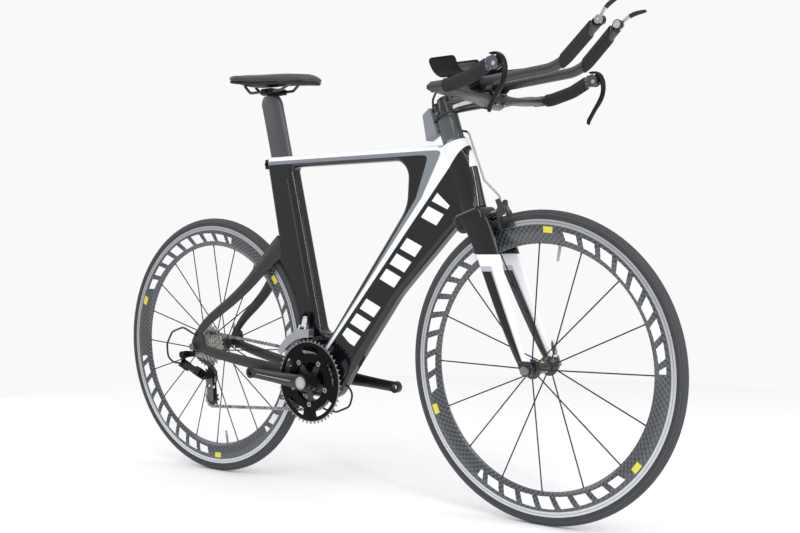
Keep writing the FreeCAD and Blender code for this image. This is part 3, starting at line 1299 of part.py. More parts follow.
def chainring_bolts():
    bolts = []
    for k in range(SPIDER_ARMS):
        seat = spider_point(k, BOLT_CIRCLE_R)
        low = OUTER_RING_Y - RING_THICK / 2
        high = CHAIN_Y + RING_THICK / 2
        shank = rod(seat + Vector(0, low, 0), seat + Vector(0, high, 0), RING_BOLT_R - RUNNING)
        heads = [rod(seat + Vector(0, low - 1.5, 0), seat + Vector(0, low, 0), 6.0),
                 rod(seat + Vector(0, high, 0), seat + Vector(0, high + 1.5, 0), 6.0)]
        socket = rod(seat + Vector(0, low - 2, 0), seat + Vector(0, low + 2, 0), 2.6)
        bolts.append(joined([shank] + heads).cut(socket))
    return bolts


def crank_arm(side, angle):
    out = Vector(math.cos(math.radians(angle)), 0, math.sin(math.radians(angle)))
    across = Vector(-out.z, 0, out.x)
    base = BB + Vector(0, side * CRANK_ARM_Y, 0)
    half = CRANK_ARM_THICK / 2
    wires = [ellipse_wire(base + out * d, across, Vector(0, 1, 0), depth, half * grow)
             for d, depth,
             grow in ((0, 20, 1.0), (40, 16.5, 1.05), (110, 13.5, 1.0), (CRANK_LENGTH, 13, 1.0))]
    eye = base + out * CRANK_LENGTH
    boss = rod(eye + Vector(0, -half, 0), eye + Vector(0, half, 0), 14.0)
    hub_boss = rod(BB + Vector(0, side * CRANK_BOSS_Y, 0), BB + Vector(0, side * (CRANK_ARM_Y + half), 0),
                   20.0)
    hole = rod(eye + Vector(0, -20, 0), eye + Vector(0, 20, 0), PEDAL_HOLE_R)
    return joined([loft(wires), boss, hub_boss]).cut(hole)


def spindle_bore():
    return rod(BB + Vector(0, -CRANK_ARM_Y, 0), BB + Vector(0, CRANK_ARM_Y, 0), CRANK_AXLE_R + RUNNING)


def crank_spindle():
    return rod(BB + Vector(0, -CRANK_ARM_Y, 0), BB + Vector(0, CRANK_ARM_Y, 0), CRANK_AXLE_R)


def crank_spider():
    """Boss on the spindle inside the right arm, with the arms that carry the chainrings."""
    low = OUTER_RING_Y + RING_THICK / 2
    high = CHAIN_Y - RING_THICK / 2
    shapes = [rod(BB + Vector(0, -CRANK_BOSS_Y, 0), BB + Vector(0, high, 0), 24.0)]
    for k in range(SPIDER_ARMS):
        tip = spider_point(k, BOLT_CIRCLE_R)
        out = (tip - BB).normalize()
        across = Vector(-out.z, 0, out.x)
        middle = Vector(0, (low + high) / 2, 0)
        corners = [BB + out * 6 + across * 10, BB + out * 6 - across * 10, tip - across * 6.5,
                   tip + across * 6.5]
        arm = plate([c + middle for c in corners], high - low - 0.1, Vector(0, 1, 0))
        end = rod(tip + Vector(0, low + RUNNING, 0), tip + Vector(0, high - RUNNING, 0), 7.5)
        shapes += [arm, end]
    whole = joined(shapes).cut(spindle_bore())
    for k in range(SPIDER_ARMS):
        seat = spider_point(k, BOLT_CIRCLE_R)
        whole = whole.cut(rod(seat + Vector(0, -60, 0), seat + Vector(0, -36, 0), RING_BOLT_R))
    return whole


def crank_arm_right():
    return crank_arm(-1, CRANK_ANGLE).cut(spindle_bore())


def crank_arm_left():
    arm = crank_arm(1, CRANK_ANGLE + 180)
    return arm.cut(spindle_bore())


# Rear derailleur

def rd_axes():
    """Unit vectors along the links, along their swing and along their pins."""
    run = Vector(RD_LINK).normalize()
    swing = Vector(0, 1, -0.65)
    swing = (swing - run * swing.dot(run)).normalize()
    return run, swing, run.cross(swing).normalize()


def rd_block(origin, run_span, swing_half, axis_low, axis_high):
    run, swing, axis = rd_axes()
    middle = origin + axis * ((axis_low + axis_high) / 2)
    near = middle + run * run_span[0]
    far = middle + run * run_span[1]
    side = swing * swing_half
    return plate([near - side, far - side, far + side, near + side], axis_high - axis_low, axis)


def rd_pins(origin, radius, half):
    run, swing, axis = rd_axes()
    return [rod(origin + swing * offset - axis * half, origin + swing * offset + axis * half, radius)
            for offset in (-RD_LINK_SPREAD, RD_LINK_SPREAD)]


def rd_link(offset):
    run, swing, axis = rd_axes()
    start = RD_PIVOT + swing * offset
    half = axis * RD_LINK_HALF
    body = rd_block(start, (0, RD_LINK.Length), 2.5, -RD_LINK_HALF, RD_LINK_HALF)
    whole = joined([body] + [rod(p - half, p + half, 4.0) for p in (start, start + RD_LINK)])
    for p in (start, start + RD_LINK):
        whole = whole.cut(rod(p - half * 2, p + half * 2, RD_PIN_R + RUNNING))
    return whole


def rd_fork_end(origin, toward):
    """Two ears, a web and two pins that carry one end of both links."""
    ear_low = RD_LINK_HALF + GAP
    ear_high = ear_low + RD_EAR_THICK
    swing_half = RD_LINK_SPREAD + 4
    ears = [rd_block(origin, sorted((-toward * 5, toward * 13)), swing_half, low, low + RD_EAR_THICK)
            for low in (ear_low, -ear_high)]
    web = rd_block(origin, sorted((toward * 5.5, toward * 13)), swing_half, -ear_high, ear_high)
    return ears + [web] + rd_pins(origin, RD_PIN_R, ear_high)


def derailleur_hanger():
    outer = -REAR_OLD / 2 - DROPOUT_THICK
    corners = [(REAR_X - 2, AXLE_Z - 12, 3), (HANGER_X - 9, HANGER_Z + 9, 6),
               (HANGER_X - 9, HANGER_Z - 9, 6),
               (REAR_X + 4, AXLE_Z - 26, 5)]
    body = Part.Face(rounded_wire(corners, outer - HANGER_THICK)).extrude(Vector(0, HANGER_THICK, 0))
    bolt = rod(Vector(HANGER_X, -120, HANGER_Z), Vector(HANGER_X, 0, HANGER_Z), PULLEY_PIN_R)
    nut_room = rod(REAR_AXLE + Vector(0, -120, 0), REAR_AXLE, QR_CUP_R + GAP)
    return body.cut(bolt).cut(nut_room)


def rd_knuckle():
    run, swing, axis = rd_axes()
    face = -REAR_OLD / 2 - DROPOUT_THICK - HANGER_THICK
    boss = rod(Vector(HANGER_X, face - 13, HANGER_Z), Vector(HANGER_X, face - GAP, HANGER_Z), 9.0)
    bolt = rod(Vector(HANGER_X, face - 13, HANGER_Z), Vector(HANGER_X, face + HANGER_THICK, HANGER_Z),
               PULLEY_PIN_R - RUNNING)
    neck = rod(Vector(HANGER_X, face - 7, HANGER_Z), RD_PIVOT - run * 9, 7.0)
    zone = rod(Vector(HANGER_X, face, HANGER_Z), Vector(HANGER_X, face + HANGER_THICK, HANGER_Z), 40.0)
    link_room = rd_block(RD_PIVOT, (-5.5, 40), RD_LINK_SPREAD + 12, -RD_LINK_HALF - GAP, RD_LINK_HALF + GAP)
    body = joined([boss, neck]).cut(link_room).cut(zone)
    return joined([max(body.Solids, key=lambda solid: solid.Volume), bolt] + rd_fork_end(RD_PIVOT, -1))


def rd_lower_knuckle():
    run, swing, axis = rd_axes()
    low = RD_PIVOT + RD_LINK
    shaft_start = Vector(GUIDE_X, RD_PIVOT.y, GUIDE_Z)
    inner = CHAIN_Y + CAGE_HALF + CAGE_PLATE + 1
    boss_end = CHAIN_Y - CAGE_HALF - CAGE_PLATE - GAP
    boss = rod(shaft_start, Vector(GUIDE_X, boss_end, GUIDE_Z), 9.0)
    reach = GUIDE - low
    arm_end = reach.dot(run)
    arm = rd_block(low, (10, arm_end), 5.5, -6, 6)
    shaft = rod(shaft_start + Vector(0, 2, 0), Vector(GUIDE_X, inner, GUIDE_Z), PULLEY_PIN_R)
    return joined([boss, arm, shaft] + rd_fork_end(low, 1))


def cage_plate(y):
    """Plate of the cage between the two pulleys."""
    drop = (TENSION - GUIDE).normalize()
    across = Vector(-drop.z, 0, drop.x)
    shift = Vector(0, y - CHAIN_Y, 0)
    half = Vector(0, CAGE_PLATE / 2, 0)
    outline = [GUIDE - across * 13, TENSION - across * 10, TENSION + across * 10, GUIDE + across * 13]
    flat_plate = plate([p + shift for p in outline], CAGE_PLATE, Vector(0, 1, 0))
    ends = [rod(c + shift - half, c + shift + half, r) for c, r in ((GUIDE, 13.0), (TENSION, 10.0))]
    middle = (GUIDE + TENSION) * 0.5 + shift
    window = rod(middle - half * 4, middle + half * 4, 6.0)
    return joined([flat_plate] + ends).cut(window)


def rd_cage():
    inner = CHAIN_Y + CAGE_HALF + CAGE_PLATE / 2
    outer = CHAIN_Y - CAGE_HALF - CAGE_PLATE / 2
    pin = rod(Vector(TENSION.x, outer, TENSION.z), Vector(TENSION.x, inner, TENSION.z), PULLEY_PIN_R)
    whole = joined([cage_plate(inner), cage_plate(outer), pin])
    return whole.cut(rod(GUIDE + Vector(0, -40, 0), GUIDE + Vector(0, 40, 0), PULLEY_PIN_R + RUNNING))


def pulley(centre, phase):
    half = Vector(0, CAGE_HALF - GAP, 0)
    bore = PULLEY_PIN_R + RUNNING
    return joined([toothed_disc(centre, PULLEY_TEETH, PULLEY_THICK, bore, phase),
                   tube(centre - half, centre + half, 7.0, bore)])


# Front derailleur

def fd_ears(points, gap):
    """Pair of ears either side of the link, from an outline in the cross plane."""
    ears = []
    for x in (FD_X - gap - 2, FD_X + gap + 2):
        ears.append(plate([Vector(x, y, z) for y, z in points], 4.0, Vector(1, 0, 0)))
    return ears


def fd_pin(y, z, radius, reach):
    return rod(Vector(FD_X - reach, y, z), Vector(FD_X + reach, y, z), radius)


def front_derailleur_mount(frame):
    gap = FD_LINK_HALF + GAP
    high = FD_PIVOT_Z
    ears = fd_ears([(FD_PIVOT_Y - 5, high - 5), (FD_PIVOT_Y - 5, high + 5), (-15, high + 12),
                    (-15, high - 12)], gap)
    base = box(Vector(FD_X - gap - 4, -23, high - 14), Vector(FD_X + gap + 4, -15, high + 14))
    pin = fd_pin(FD_PIVOT_Y, high, FD_PIN_R, gap + 4)
    return joined(ears + [base, pin]).cut(frame)


def fd_link():
    top = Vector(FD_X, FD_PIVOT_Y, FD_PIVOT_Z)
    low = top - Vector(0, FD_LINK_OUT, FD_LINK_DROP)
    across = (low - top).cross(Vector(1, 0, 0)).normalize() * 3
    reach = Vector(FD_LINK_HALF, 0, 0)
    whole = joined([plate([top - across, low - across, low + across, top + across], 2 * FD_LINK_HALF,
                          Vector(1, 0, 0)),
                    rod(top - reach, top + reach, 4.0), rod(low - reach, low + reach, 4.0)])
    for p in (top, low):
        whole = whole.cut(rod(p - reach * 2, p + reach * 2, FD_PIN_R + RUNNING))
    return whole


def fd_plate(y, thick):
    low, high = math.radians(88), math.radians(146)
    middle = (low + high) / 2

    def at(radius, angle):
        return Vector(BB_X + radius * math.cos(angle), y, BB_Z + radius * math.sin(angle))

    inner, outer = FD_CAGE_LOW_R, FD_CAGE_HIGH_R
    edges = [Part.Arc(at(inner, low), at(inner, middle), at(inner, high)).toShape(),
             Part.LineSegment(at(inner, high), at(outer - 4, high)).toShape(),
             Part.Arc(at(outer - 4, high), at(outer, middle), at(outer, low)).toShape(),
             Part.LineSegment(at(outer, low), at(inner, low)).toShape()]
    return Part.Face(Part.Wire(edges)).extrude(Vector(0, thick, 0))


def fd_cage():
    gap = FD_LINK_HALF + GAP
    low_y = FD_PIVOT_Y - FD_LINK_OUT
    low_z = FD_PIVOT_Z - FD_LINK_DROP
    ears = fd_ears([(low_y - 11, low_z - 9), (low_y + 3, low_z - 9), (low_y + 5, low_z + 4),
                    (low_y - 5, low_z + 4)], gap)
    outer_y = CHAIN_Y - 9
    inner_y = CHAIN_Y + 5.7
    bridge = box(Vector(FD_X - gap - 4, outer_y, low_z - 11),
                 Vector(FD_X + gap + 4, inner_y + 1.5, low_z - 6))
    tail_angle = math.radians(143)
    tail = Vector(BB_X + 119 * math.cos(tail_angle), 0, BB_Z + 119 * math.sin(tail_angle))
    tail_pin = rod(tail + Vector(0, outer_y, 0), tail + Vector(0, inner_y + 1.5, 0), 2.5)
    pin = fd_pin(low_y, low_z, FD_PIN_R, gap + 4)
    return joined([fd_plate(outer_y - 1.5, 1.5 + 0.01), fd_plate(inner_y, 1.5), bridge, tail_pin,
                   pin] + ears)


# Cables

def frame_cables(frame):
    loop = route([Vector(REAR_X + 7.6, -73.7, AXLE_Z + 30), Vector(REAR_X - 42.4, -73.5, AXLE_Z + 49),
                  Vector(REAR_X - 88.4, -72, AXLE_Z + 35),
                  Vector(REAR_X - 112.4, -70, AXLE_Z + 1),
                  Vector(REAR_X - 110.4, -69, AXLE_Z - 34), Vector(REAR_X - 88.4, -68, AXLE_Z - 47),
                  Vector(REAR_X - 53.4, -68, AXLE_Z - 47.5)], CABLE_R, 26)
    brake = route([Vector(BB_X + 73, 0, BB_Z - 4), Vector(BB_X + 99, 0, BB_Z - 25),
                   Vector(BB_X + 85, 2, BB_Z - 60), Vector(BB_X + 37, 8, BB_Z - 78),
                   Vector(BB_X - 7, 16, BB_Z - 76), Vector(BB_X - 33, 21, BB_Z - 69)], CABLE_R,
                   24).cut(frame)
    return [loop.cut(rd_knuckle()), max(brake.Solids, key=lambda solid: solid.Volume)]


def front_cables(others):
    brake = route([axis_point(SPACER_S + 14, SPACER_NOSE - 3, 8), axis_point(SPACER_S + 6, 30, 9),
                   axis_point(HEAD_BOTTOM_S + 55, 34, 12),
                   Vector(FRONT_X - 113.6, 21, AXLE_Z + TYRE_R + 32),
                   Vector(FRONT_X - 112.6, 21, AXLE_Z + TYRE_R + 20)], CABLE_R, 14)
    shift = route([Vector(EXTENSION_REAR_X, EXTENSION_Y, EXTENSION_Z),
                   Vector(EXTENSION_REAR_X - 28, EXTENSION_Y, EXTENSION_Z - 2.085),
                   Vector(BASE_BAR_X - 142, 26, BASE_BAR_Z + 11),
                   Vector(BASE_BAR_X - 158, 4, BASE_BAR_Z - 13)], CABLE_R, 25)
    rear = route([Vector(BASE_BAR_X - 12, -24, BASE_BAR_Z - 4),
                  Vector(BASE_BAR_X - 68, -32, BASE_BAR_Z - 13),
                  Vector(BASE_BAR_X - 126, -24, BASE_BAR_Z - 26),
                  Vector(BASE_BAR_X - 158, -4, BASE_BAR_Z - 40)], CABLE_R, 30)
    cables = [brake, shift, mirror_y(shift), rear]
    for other in others:
        cables = [cable.cut(other) for cable in cables]
    return [max(cable.Solids, key=lambda solid: solid.Volume) for cable in cables]


# Saved nodes

def save_frame(frame):
    save("main_frame", frame)
    save("rear_stays", rear_stays(frame))
    save("derailleur_hanger", derailleur_hanger())
    save("frame_bearings", frame_bearings())
    save("seat_clamp", seat_clamp(frame))
    save("frame_cables", frame_cables(frame))
    save("front_derailleur_mount", front_derailleur_mount(frame))
    save("seatpost", seatpost())
    pad = saddle_pad()
    shell = saddle_shell(pad)
    save("saddle_clamp", saddle_clamp())
    save("saddle_rails", saddle_rails(shell, pad))
    save("saddle_shell", shell)
    save("saddle_pad", pad)


def save_steering():
    cover = tail_cover()
    bar = base_bar()
    save("fork", fork())
    spacers = headset_spacers()
    stem_body = stem(bar, spacers)
    stem_group = [stem_body] + [bolt.cut(bar) for bolt in stem_bolts(stem_body)]
    save("headset_spacers", spacers)
    save("tail_cover", cover)
    save("stem", stem_group)
    save("base_bar", bar)
    save("bar_tape", bar_tape(bar))
    save("extensions", extensions())
    save("armrests", armrests())
    save("armrest_pads", armrest_pads())
    save("front_cables", front_cables([cover, bar] + stem_group + spacers))
    body = brake_lever_body(bar)
    shifter = shifter_body()
    lever = brake_lever()
    save("lever_housings", [body, mirror_y(body), shifter, mirror_y(shifter)])
    save("brake_lever_left", lever)
    save("brake_lever_right", mirror_y(lever))
    save("shift_lever_left", shift_lever(SHIFT_LEVER_ANGLE))
    save("shift_lever_right", mirror_y(shift_lever(SHIFT_LEVER_UP_ANGLE)))


def save_wheels():
    front_end = FRONT_OLD / 2 - LOCKNUT_LENGTH - GAP
    rear_end = REAR_OLD / 2 - LOCKNUT_LENGTH - GAP
    hubs = {"front": hub(FRONT_AXLE, front_end, -front_end, FRONT_FLANGE_Y, -FRONT_FLANGE_Y),
            "rear": hub(REAR_AXLE, rear_end, HUB_RIGHT_Y, REAR_FLANGE_LEFT_Y, REAR_FLANGE_RIGHT_Y)}
    spokes = {"front": front_spokes(), "rear": rear_spokes()}
    for end, centre, width, lever_dir in (("front", FRONT_AXLE, FRONT_OLD, FRONT_LEVER_DIR),
                                          ("rear", REAR_AXLE, REAR_OLD, REAR_LEVER_DIR)):
        save(end + "_tyre", tyre(centre))
        save(end + "_rim", ring(TRACK_INNER_R, RIM_R, RIM_WIDTH / 2, centre))
        save(end + "_fairing", fairing(centre))
        save(end + "_spokes", spokes[end])
        save(end + "_hub", hubs[end])
        save(end + "_axle", axle(centre, width, lever_dir))
        save(end + "_qr_lever", qr_lever(centre, width, lever_dir))


def save_brakes(frame):
    for end, brake, carrier in (("front", FRONT_BRAKE, fork()), ("rear", REAR_BRAKE, frame)):
        save(end + "_brake_mount", brake_mount(brake, carrier))
        save(end + "_brake_arm_left", brake_arm(brake, 1))
        save(end + "_brake_arm_right", brake_arm(brake, -1))


def save_drive():
    phases = chain_pins()[1]
    save("chain", chain())
    save("cassette", cassette(phases))
    save("chainrings", chainrings(phases) + chainring_bolts())
    save("crank_arms", [crank_arm_right(), crank_arm_left(), crank_spider(), crank_spindle()])
    save("rd_knuckle", rd_knuckle())
    save("rd_outer_link", rd_link(-RD_LINK_SPREAD))
    save("rd_inner_link", rd_link(RD_LINK_SPREAD))
    save("rd_lower_knuckle", rd_lower_knuckle())
    save("rd_cage", rd_cage())
    save("rd_guide_pulley", pulley(GUIDE, phases[3]))
    save("rd_tension_pulley", pulley(TENSION, phases[2]))
    save("fd_link", fd_link())
    save("fd_cage", fd_cage())


def main():
    os.makedirs("parts", exist_ok=True)
    frame = main_frame()
    save_frame(frame)
    save_steering()
    save_wheels()
    save_brakes(frame)
    save_drive()


main()
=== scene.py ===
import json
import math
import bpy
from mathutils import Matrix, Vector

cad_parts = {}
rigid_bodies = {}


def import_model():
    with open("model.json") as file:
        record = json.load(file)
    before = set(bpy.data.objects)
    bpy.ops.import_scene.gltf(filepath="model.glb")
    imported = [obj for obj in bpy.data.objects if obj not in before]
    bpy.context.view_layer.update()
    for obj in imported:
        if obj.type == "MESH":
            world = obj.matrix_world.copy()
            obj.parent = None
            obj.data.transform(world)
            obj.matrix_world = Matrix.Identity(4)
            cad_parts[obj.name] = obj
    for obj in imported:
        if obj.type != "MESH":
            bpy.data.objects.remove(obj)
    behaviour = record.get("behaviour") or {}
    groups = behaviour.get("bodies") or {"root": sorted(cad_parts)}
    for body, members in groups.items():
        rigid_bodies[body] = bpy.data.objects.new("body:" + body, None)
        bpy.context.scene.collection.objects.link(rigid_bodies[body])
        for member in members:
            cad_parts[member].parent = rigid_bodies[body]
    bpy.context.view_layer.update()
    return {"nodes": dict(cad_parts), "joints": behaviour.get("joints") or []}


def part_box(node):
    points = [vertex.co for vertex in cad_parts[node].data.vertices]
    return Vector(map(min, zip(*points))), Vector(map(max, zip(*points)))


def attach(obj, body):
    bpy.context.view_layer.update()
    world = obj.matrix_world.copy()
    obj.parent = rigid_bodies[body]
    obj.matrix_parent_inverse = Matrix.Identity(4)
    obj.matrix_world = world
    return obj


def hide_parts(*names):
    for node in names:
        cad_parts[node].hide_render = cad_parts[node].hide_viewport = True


bl_info = {
    "name": "Time trial bike",
    "version": (1, 0, 0),
    "blender": (4, 5, 0),
    "location": "View3D > Sidebar > Bike",
    "description": "Finishes, pads, small hardware and studio of a time trial bike on its packed frame",
    "category": "Object",
}

import bmesh
import bpy
from mathutils import Matrix, Vector

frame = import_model()
NODES = frame["nodes"]
JOINTS = {joint["name"]: joint for joint in frame["joints"]}
FRONT_HUB = Vector(JOINTS["front_wheel_spin"]["pos_m"])
REAR_HUB = Vector(JOINTS["rear_wheel_spin"]["pos_m"])
WHEELS = (("front", FRONT_HUB), ("rear", REAR_HUB))
CRANK_CENTRE = Vector(JOINTS["crank_spin"]["pos_m"])
CHAIN_SIDE = (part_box("chain")[0][1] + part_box("chain")[1][1]) / 2
MM = 1000

# Lengths that the finishes read are in millimetres of the frame's own coordinates.
DOWN_TUBE_X = 0.660
DOWN_TUBE_Z = 0.751
DOWN_TUBE_TOP = 291
HEAD_FOOT_X = 458.05
HEAD_FOOT_Z = 318.55
HEAD_AXIS_X = 0.309
HEAD_AXIS_Z = 0.951
TOP_BAND_Z = 806
TOP_GREY_WIDTH = 9
BANDS_FOOT_Z = 330
BANDS_REAR_X = -300
BAND_BLEND = 30
PAINT_EDGE = 1.2
COLLAR_FOOT = 526
COLLAR_REAR_X = 262
PATCH_FOOT = 462
BAR_PITCH = 47
BAR_GAP = 15
BAR_GROUP = 4 * BAR_PITCH
BAR_SLANT = 0.30
BAR_ENDS = (11, 56)
BAR_RUN = (262, 700)
SEAM_EDGES = (-4.5, -3.3)
SEAM_RUN = (470, 760)
FORK_BARE_Z = 352
FORK_LEG_TOP_Z = 552
FORK_WHITE_Z = (549, 574)
FORK_SILVER_Z = (538, 550)
FAIRING_MIDDLE = 283
DASH_PITCH = 9.2
DASH_EDGES = (1.2, 7.4)
DASH_RUN = (9, 86)
DASH_MIDDLE = 48
TAG_WIDTH = 4.4
TAG_RADII = (286, 299)
WEAR_GROOVE = (308.1, 308.9)
TREAD_RADIUS = 328.5
FLANK_LINE = (324.3, 325.1)
BETWEEN_RINGS = -45.5
BARE_TEETH = (95.5, 63.8)
RING_BOLT_STEP = 72
RING_FIRST_BOLT = 54
RING_BOLT_REACH = (48.8, 61.2)
RING_BOLT_FACES = (-48.52, -40.18)
TWILL_CELL = 3.2
CARBON_CELL = 2.4
TAPE_LAP = 14
CRANK_ANGLE = 175.3
CRANK_FACE = 76.5
CRANK_LINE = (34, 150)
CRANK_CAP_RADIUS = 15
CRANK_AXLE_RADIUS = 12.6
CHAIN_MIDDLE = -41.2
PLATES_INSIDE = 2.2
STEM_FOOT_X = 268
STEM_FOOT_Z = 880
STEM_RISE = 0.215
STEM_WHITE_X = (296, 366)
PALE_CABLE_X = 318
PALE_CABLE_Z = 862
PLUGS_Z = 1000
BRAKE_PIVOT_X = 531
BRAKE_PIVOT_Z = 951
SHIFT_PIVOT_X = 674.3
SHIFT_PIVOT_Z = 1039.4
SHIFT_GRIP_START = 27
BLOCK_RADII = (303, 314)
BLOCK_SIDE = 17.2
CALIPER_PIVOT_RADII = (340, 354)
TAG_ANGLES = {"front": (87, 204, 323), "rear": (39, 160, 275)}

# Lengths of the small hardware are in metres.
RIM_INNER_EDGE = 0.262
NIPPLE_SEAT = 0.001
VALVE_FOOT = 0.2635
RIVET_REACH = 0.0066
SPOKES_AND_VALVE = {"front": (16, 79), "rear": (20, 279)}
WELD = 1e-6

CAMERA_TURN = 0.6773868
CAMERA_LIFT = 0.0281132
CAMERA_ROLL = -0.0133196
CAMERA_PLACE = (1.81706, -2.10090, 0.62091)
FOCAL_PIXELS = 1167.0747
PICTURE_PIXELS = 800
SENSOR_MM = 36
FLOOR_RADIUS = 2.3
FLOOR_SIDES = 120
LIGHT_TARGET = (0, 0, 0.5)
SOFTBOXES = (
    ("key", (1.4, -2.6, 3.2), 2.6, 2.6, 42),
    ("side", (3.4, 0.6, 2.0), 2.2, 2.2, 22),
    ("back", (-2.6, -1.2, 2.4), 2.4, 2.4, 24),
    ("top", (0.0, 0.4, 3.6), 3.0, 3.0, 20),
    ("strip", (2.7, -1.3, 1.5), 0.16, 1.8, 22),
)
AIR_LEVEL = 0.78
AIR_CHANGES = (("Is Camera Ray", 0.17), ("Is Glossy Ray", -0.24))


def shade(red, green, blue):
    """Linear colour of a shade written as screen values from 0 to 255."""
    def linear(value):
        value /= 255
        return value / 12.92 if value <= 0.04045 else ((value + 0.055) / 1.055) ** 2.4
    return (linear(red), linear(green), linear(blue))


def scaled(colour, gain, lift=0.0):
    """A colour made lighter or darker."""
    return tuple(min(1, part * gain + lift) for part in colour)


class Wire:
    """One value in a shader tree, with the usual operators."""

    def __init__(self, finish, socket):
        self.finish = finish
        self.socket = socket

    def math(self, operation, *others, clamp=False):
        node = self.finish.node("ShaderNodeMath", {"operation": operation, "use_clamp": clamp},
                                dict(enumerate((self, *others))))
        return Wire(self.finish, node.outputs[0])

    def __add__(self, other):
        return self.math("ADD", other)

    __radd__ = __add__

    def __sub__(self, other):
        return self.math("SUBTRACT", other)

    def __rsub__(self, other):
        return (self * -1) + other

    def __mul__(self, other):
        return self.math("MULTIPLY", other)

    __rmul__ = __mul__

    def __truediv__(self, other):
        return self.math("DIVIDE", other)

    def __mod__(self, other):
        return self.math("FLOORED_MODULO", other)

    def __abs__(self):
        return self.math("ABSOLUTE")

    def above(self, edge, soft=0.5):
        """1 where the value is past the edge, with a soft border."""
        return self.math("SUBTRACT", edge).math("MULTIPLY_ADD", 1 / soft, 0.5, clamp=True)

    def below(self, edge, soft=0.5):
        return 1 - self.above(edge, soft)

    def between(self, low, high, soft=0.5):
        return self.above(low, soft) * self.below(high, soft)

    def either(self, other):
        return self.math("MAXIMUM", other)

    def rounded_least(self, other, blend):
        """The smaller of two values, with a rounded corner where they cross."""
        return self.math("SMOOTH_MIN", other, blend)

    def distance(self, other):
        """Length of the step that has this value and another as its sides."""
        return (self * self + other * other).math("SQRT")

    def ripple(self, rate):
        """Even wave from 0 to 1 along the value."""
        return (self * rate).math("SINE") * 0.5 + 0.5


class Finish:
    """A material whose nodes are written as short expressions. Lengths are in millimetres."""

    SOCKETS = {"colour": "Base Color", "roughness": "Roughness", "metallic": "Metallic"}

    def __init__(self, name, roughness=0.5, metallic=0.0, coat=0.0, coat_roughness=0.05,
                 specular=0.5, sheen=0.0):
        self.material = bpy.data.materials.new(name)
        self.material.use_nodes = True
        self.tree = self.material.node_tree
        self.shader = self.tree.nodes["Principled BSDF"]
        for socket, value in (("Roughness", roughness), ("Metallic", metallic), ("Coat Weight", coat),
                              ("Coat Roughness", coat_roughness), ("Specular IOR Level", specular),
                              ("Sheen Weight", sheen)):
            self.shader.inputs[socket].default_value = value
        self.object_place = self.node("ShaderNodeTexCoord").outputs["Object"]

    def node(self, kind, settings=None, values=None):
        """A new node with its settings, and its inputs linked or filled."""
        node = self.tree.nodes.new(kind)
        for key, value in (settings or {}).items():
            setattr(node, key, value)
        for key, value in (values or {}).items():
            self.put(node.inputs[key], value)
        return node

    def put(self, socket, value):
        """Link a value or write it into a socket."""
        if isinstance(value, Wire):
            self.tree.links.new(value.socket, socket)
        elif isinstance(value, bpy.types.NodeSocket):
            self.tree.links.new(value, socket)
        elif socket.type == "RGBA" and len(value) == 3:
            socket.default_value = (*value, 1)
        else:
            socket.default_value = value

    def place(self, centre=(0, 0, 0)):
        """Object coordinates in millimetres from a centre given in metres."""
        shifted = self.node("ShaderNodeVectorMath", {"operation": "SUBTRACT"},
                            {0: self.object_place, 1: tuple(centre)})
        parts = self.node("ShaderNodeSeparateXYZ", None, {0: shifted.outputs[0]})
        return tuple(Wire(self, parts.outputs[i]) * MM for i in range(3))

    def wheel_place(self, centre):
        """Radius in millimetres and angle in degrees about a wheel's axle, and the side distance."""
        x, y, z = self.place(centre)
        angle = z.math("ARCTAN2", x) * (180 / math.pi)
        return x.distance(z), angle % 360, y

    def texture(self, kind, stretch, values):
        """A texture node over the object coordinates."""
        mapped = self.node("ShaderNodeMapping", None, {"Vector": self.object_place, "Scale": stretch})
        return self.node(kind, None, {"Vector": mapped.outputs[0], **values})

    def noise(self, scale, detail=2.0, stretch=(1, 1, 1)):
        """Cloudy value from 0 to 1. Scale is in cells per metre."""
        node = self.texture("ShaderNodeTexNoise", stretch, {"Scale": scale, "Detail": detail})
        return Wire(self, node.outputs[0])

    def cells(self, scale):
        """Distance to the nearest of scattered points. Scale is in cells per metre."""
        node = self.texture("ShaderNodeTexVoronoi", (1, 1, 1), {"Scale": scale})
        return Wire(self, node.outputs["Distance"])

    def mix(self, factor, first, second):
        """Colour between two, by a value from 0 to 1."""
        node = self.node("ShaderNodeMix", {"data_type": "RGBA"}, {"Factor": factor})
        self.put(node.inputs[6], first)
        self.put(node.inputs[7], second)
        return node.outputs[2]

    def bump(self, height, depth):
        """Relief from a value of 0 to 1, whose depth is in millimetres."""
        node = self.node("ShaderNodeBump", None,
                         {"Strength": 1.0, "Distance": depth / MM, "Height": height})
        self.put(self.shader.inputs["Normal"], node.outputs[0])

    def set(self, **sockets):
        """Fill the shader's sockets and give back the material."""
        for key, value in sockets.items():
            self.put(self.shader.inputs[self.SOCKETS[key]], value)
        return self.material


def dress(material, *nodes):
    """Give CAD nodes one finish."""
    for name in nodes:
        data = NODES[name].data
        data.materials.clear()
        data.materials.append(material)


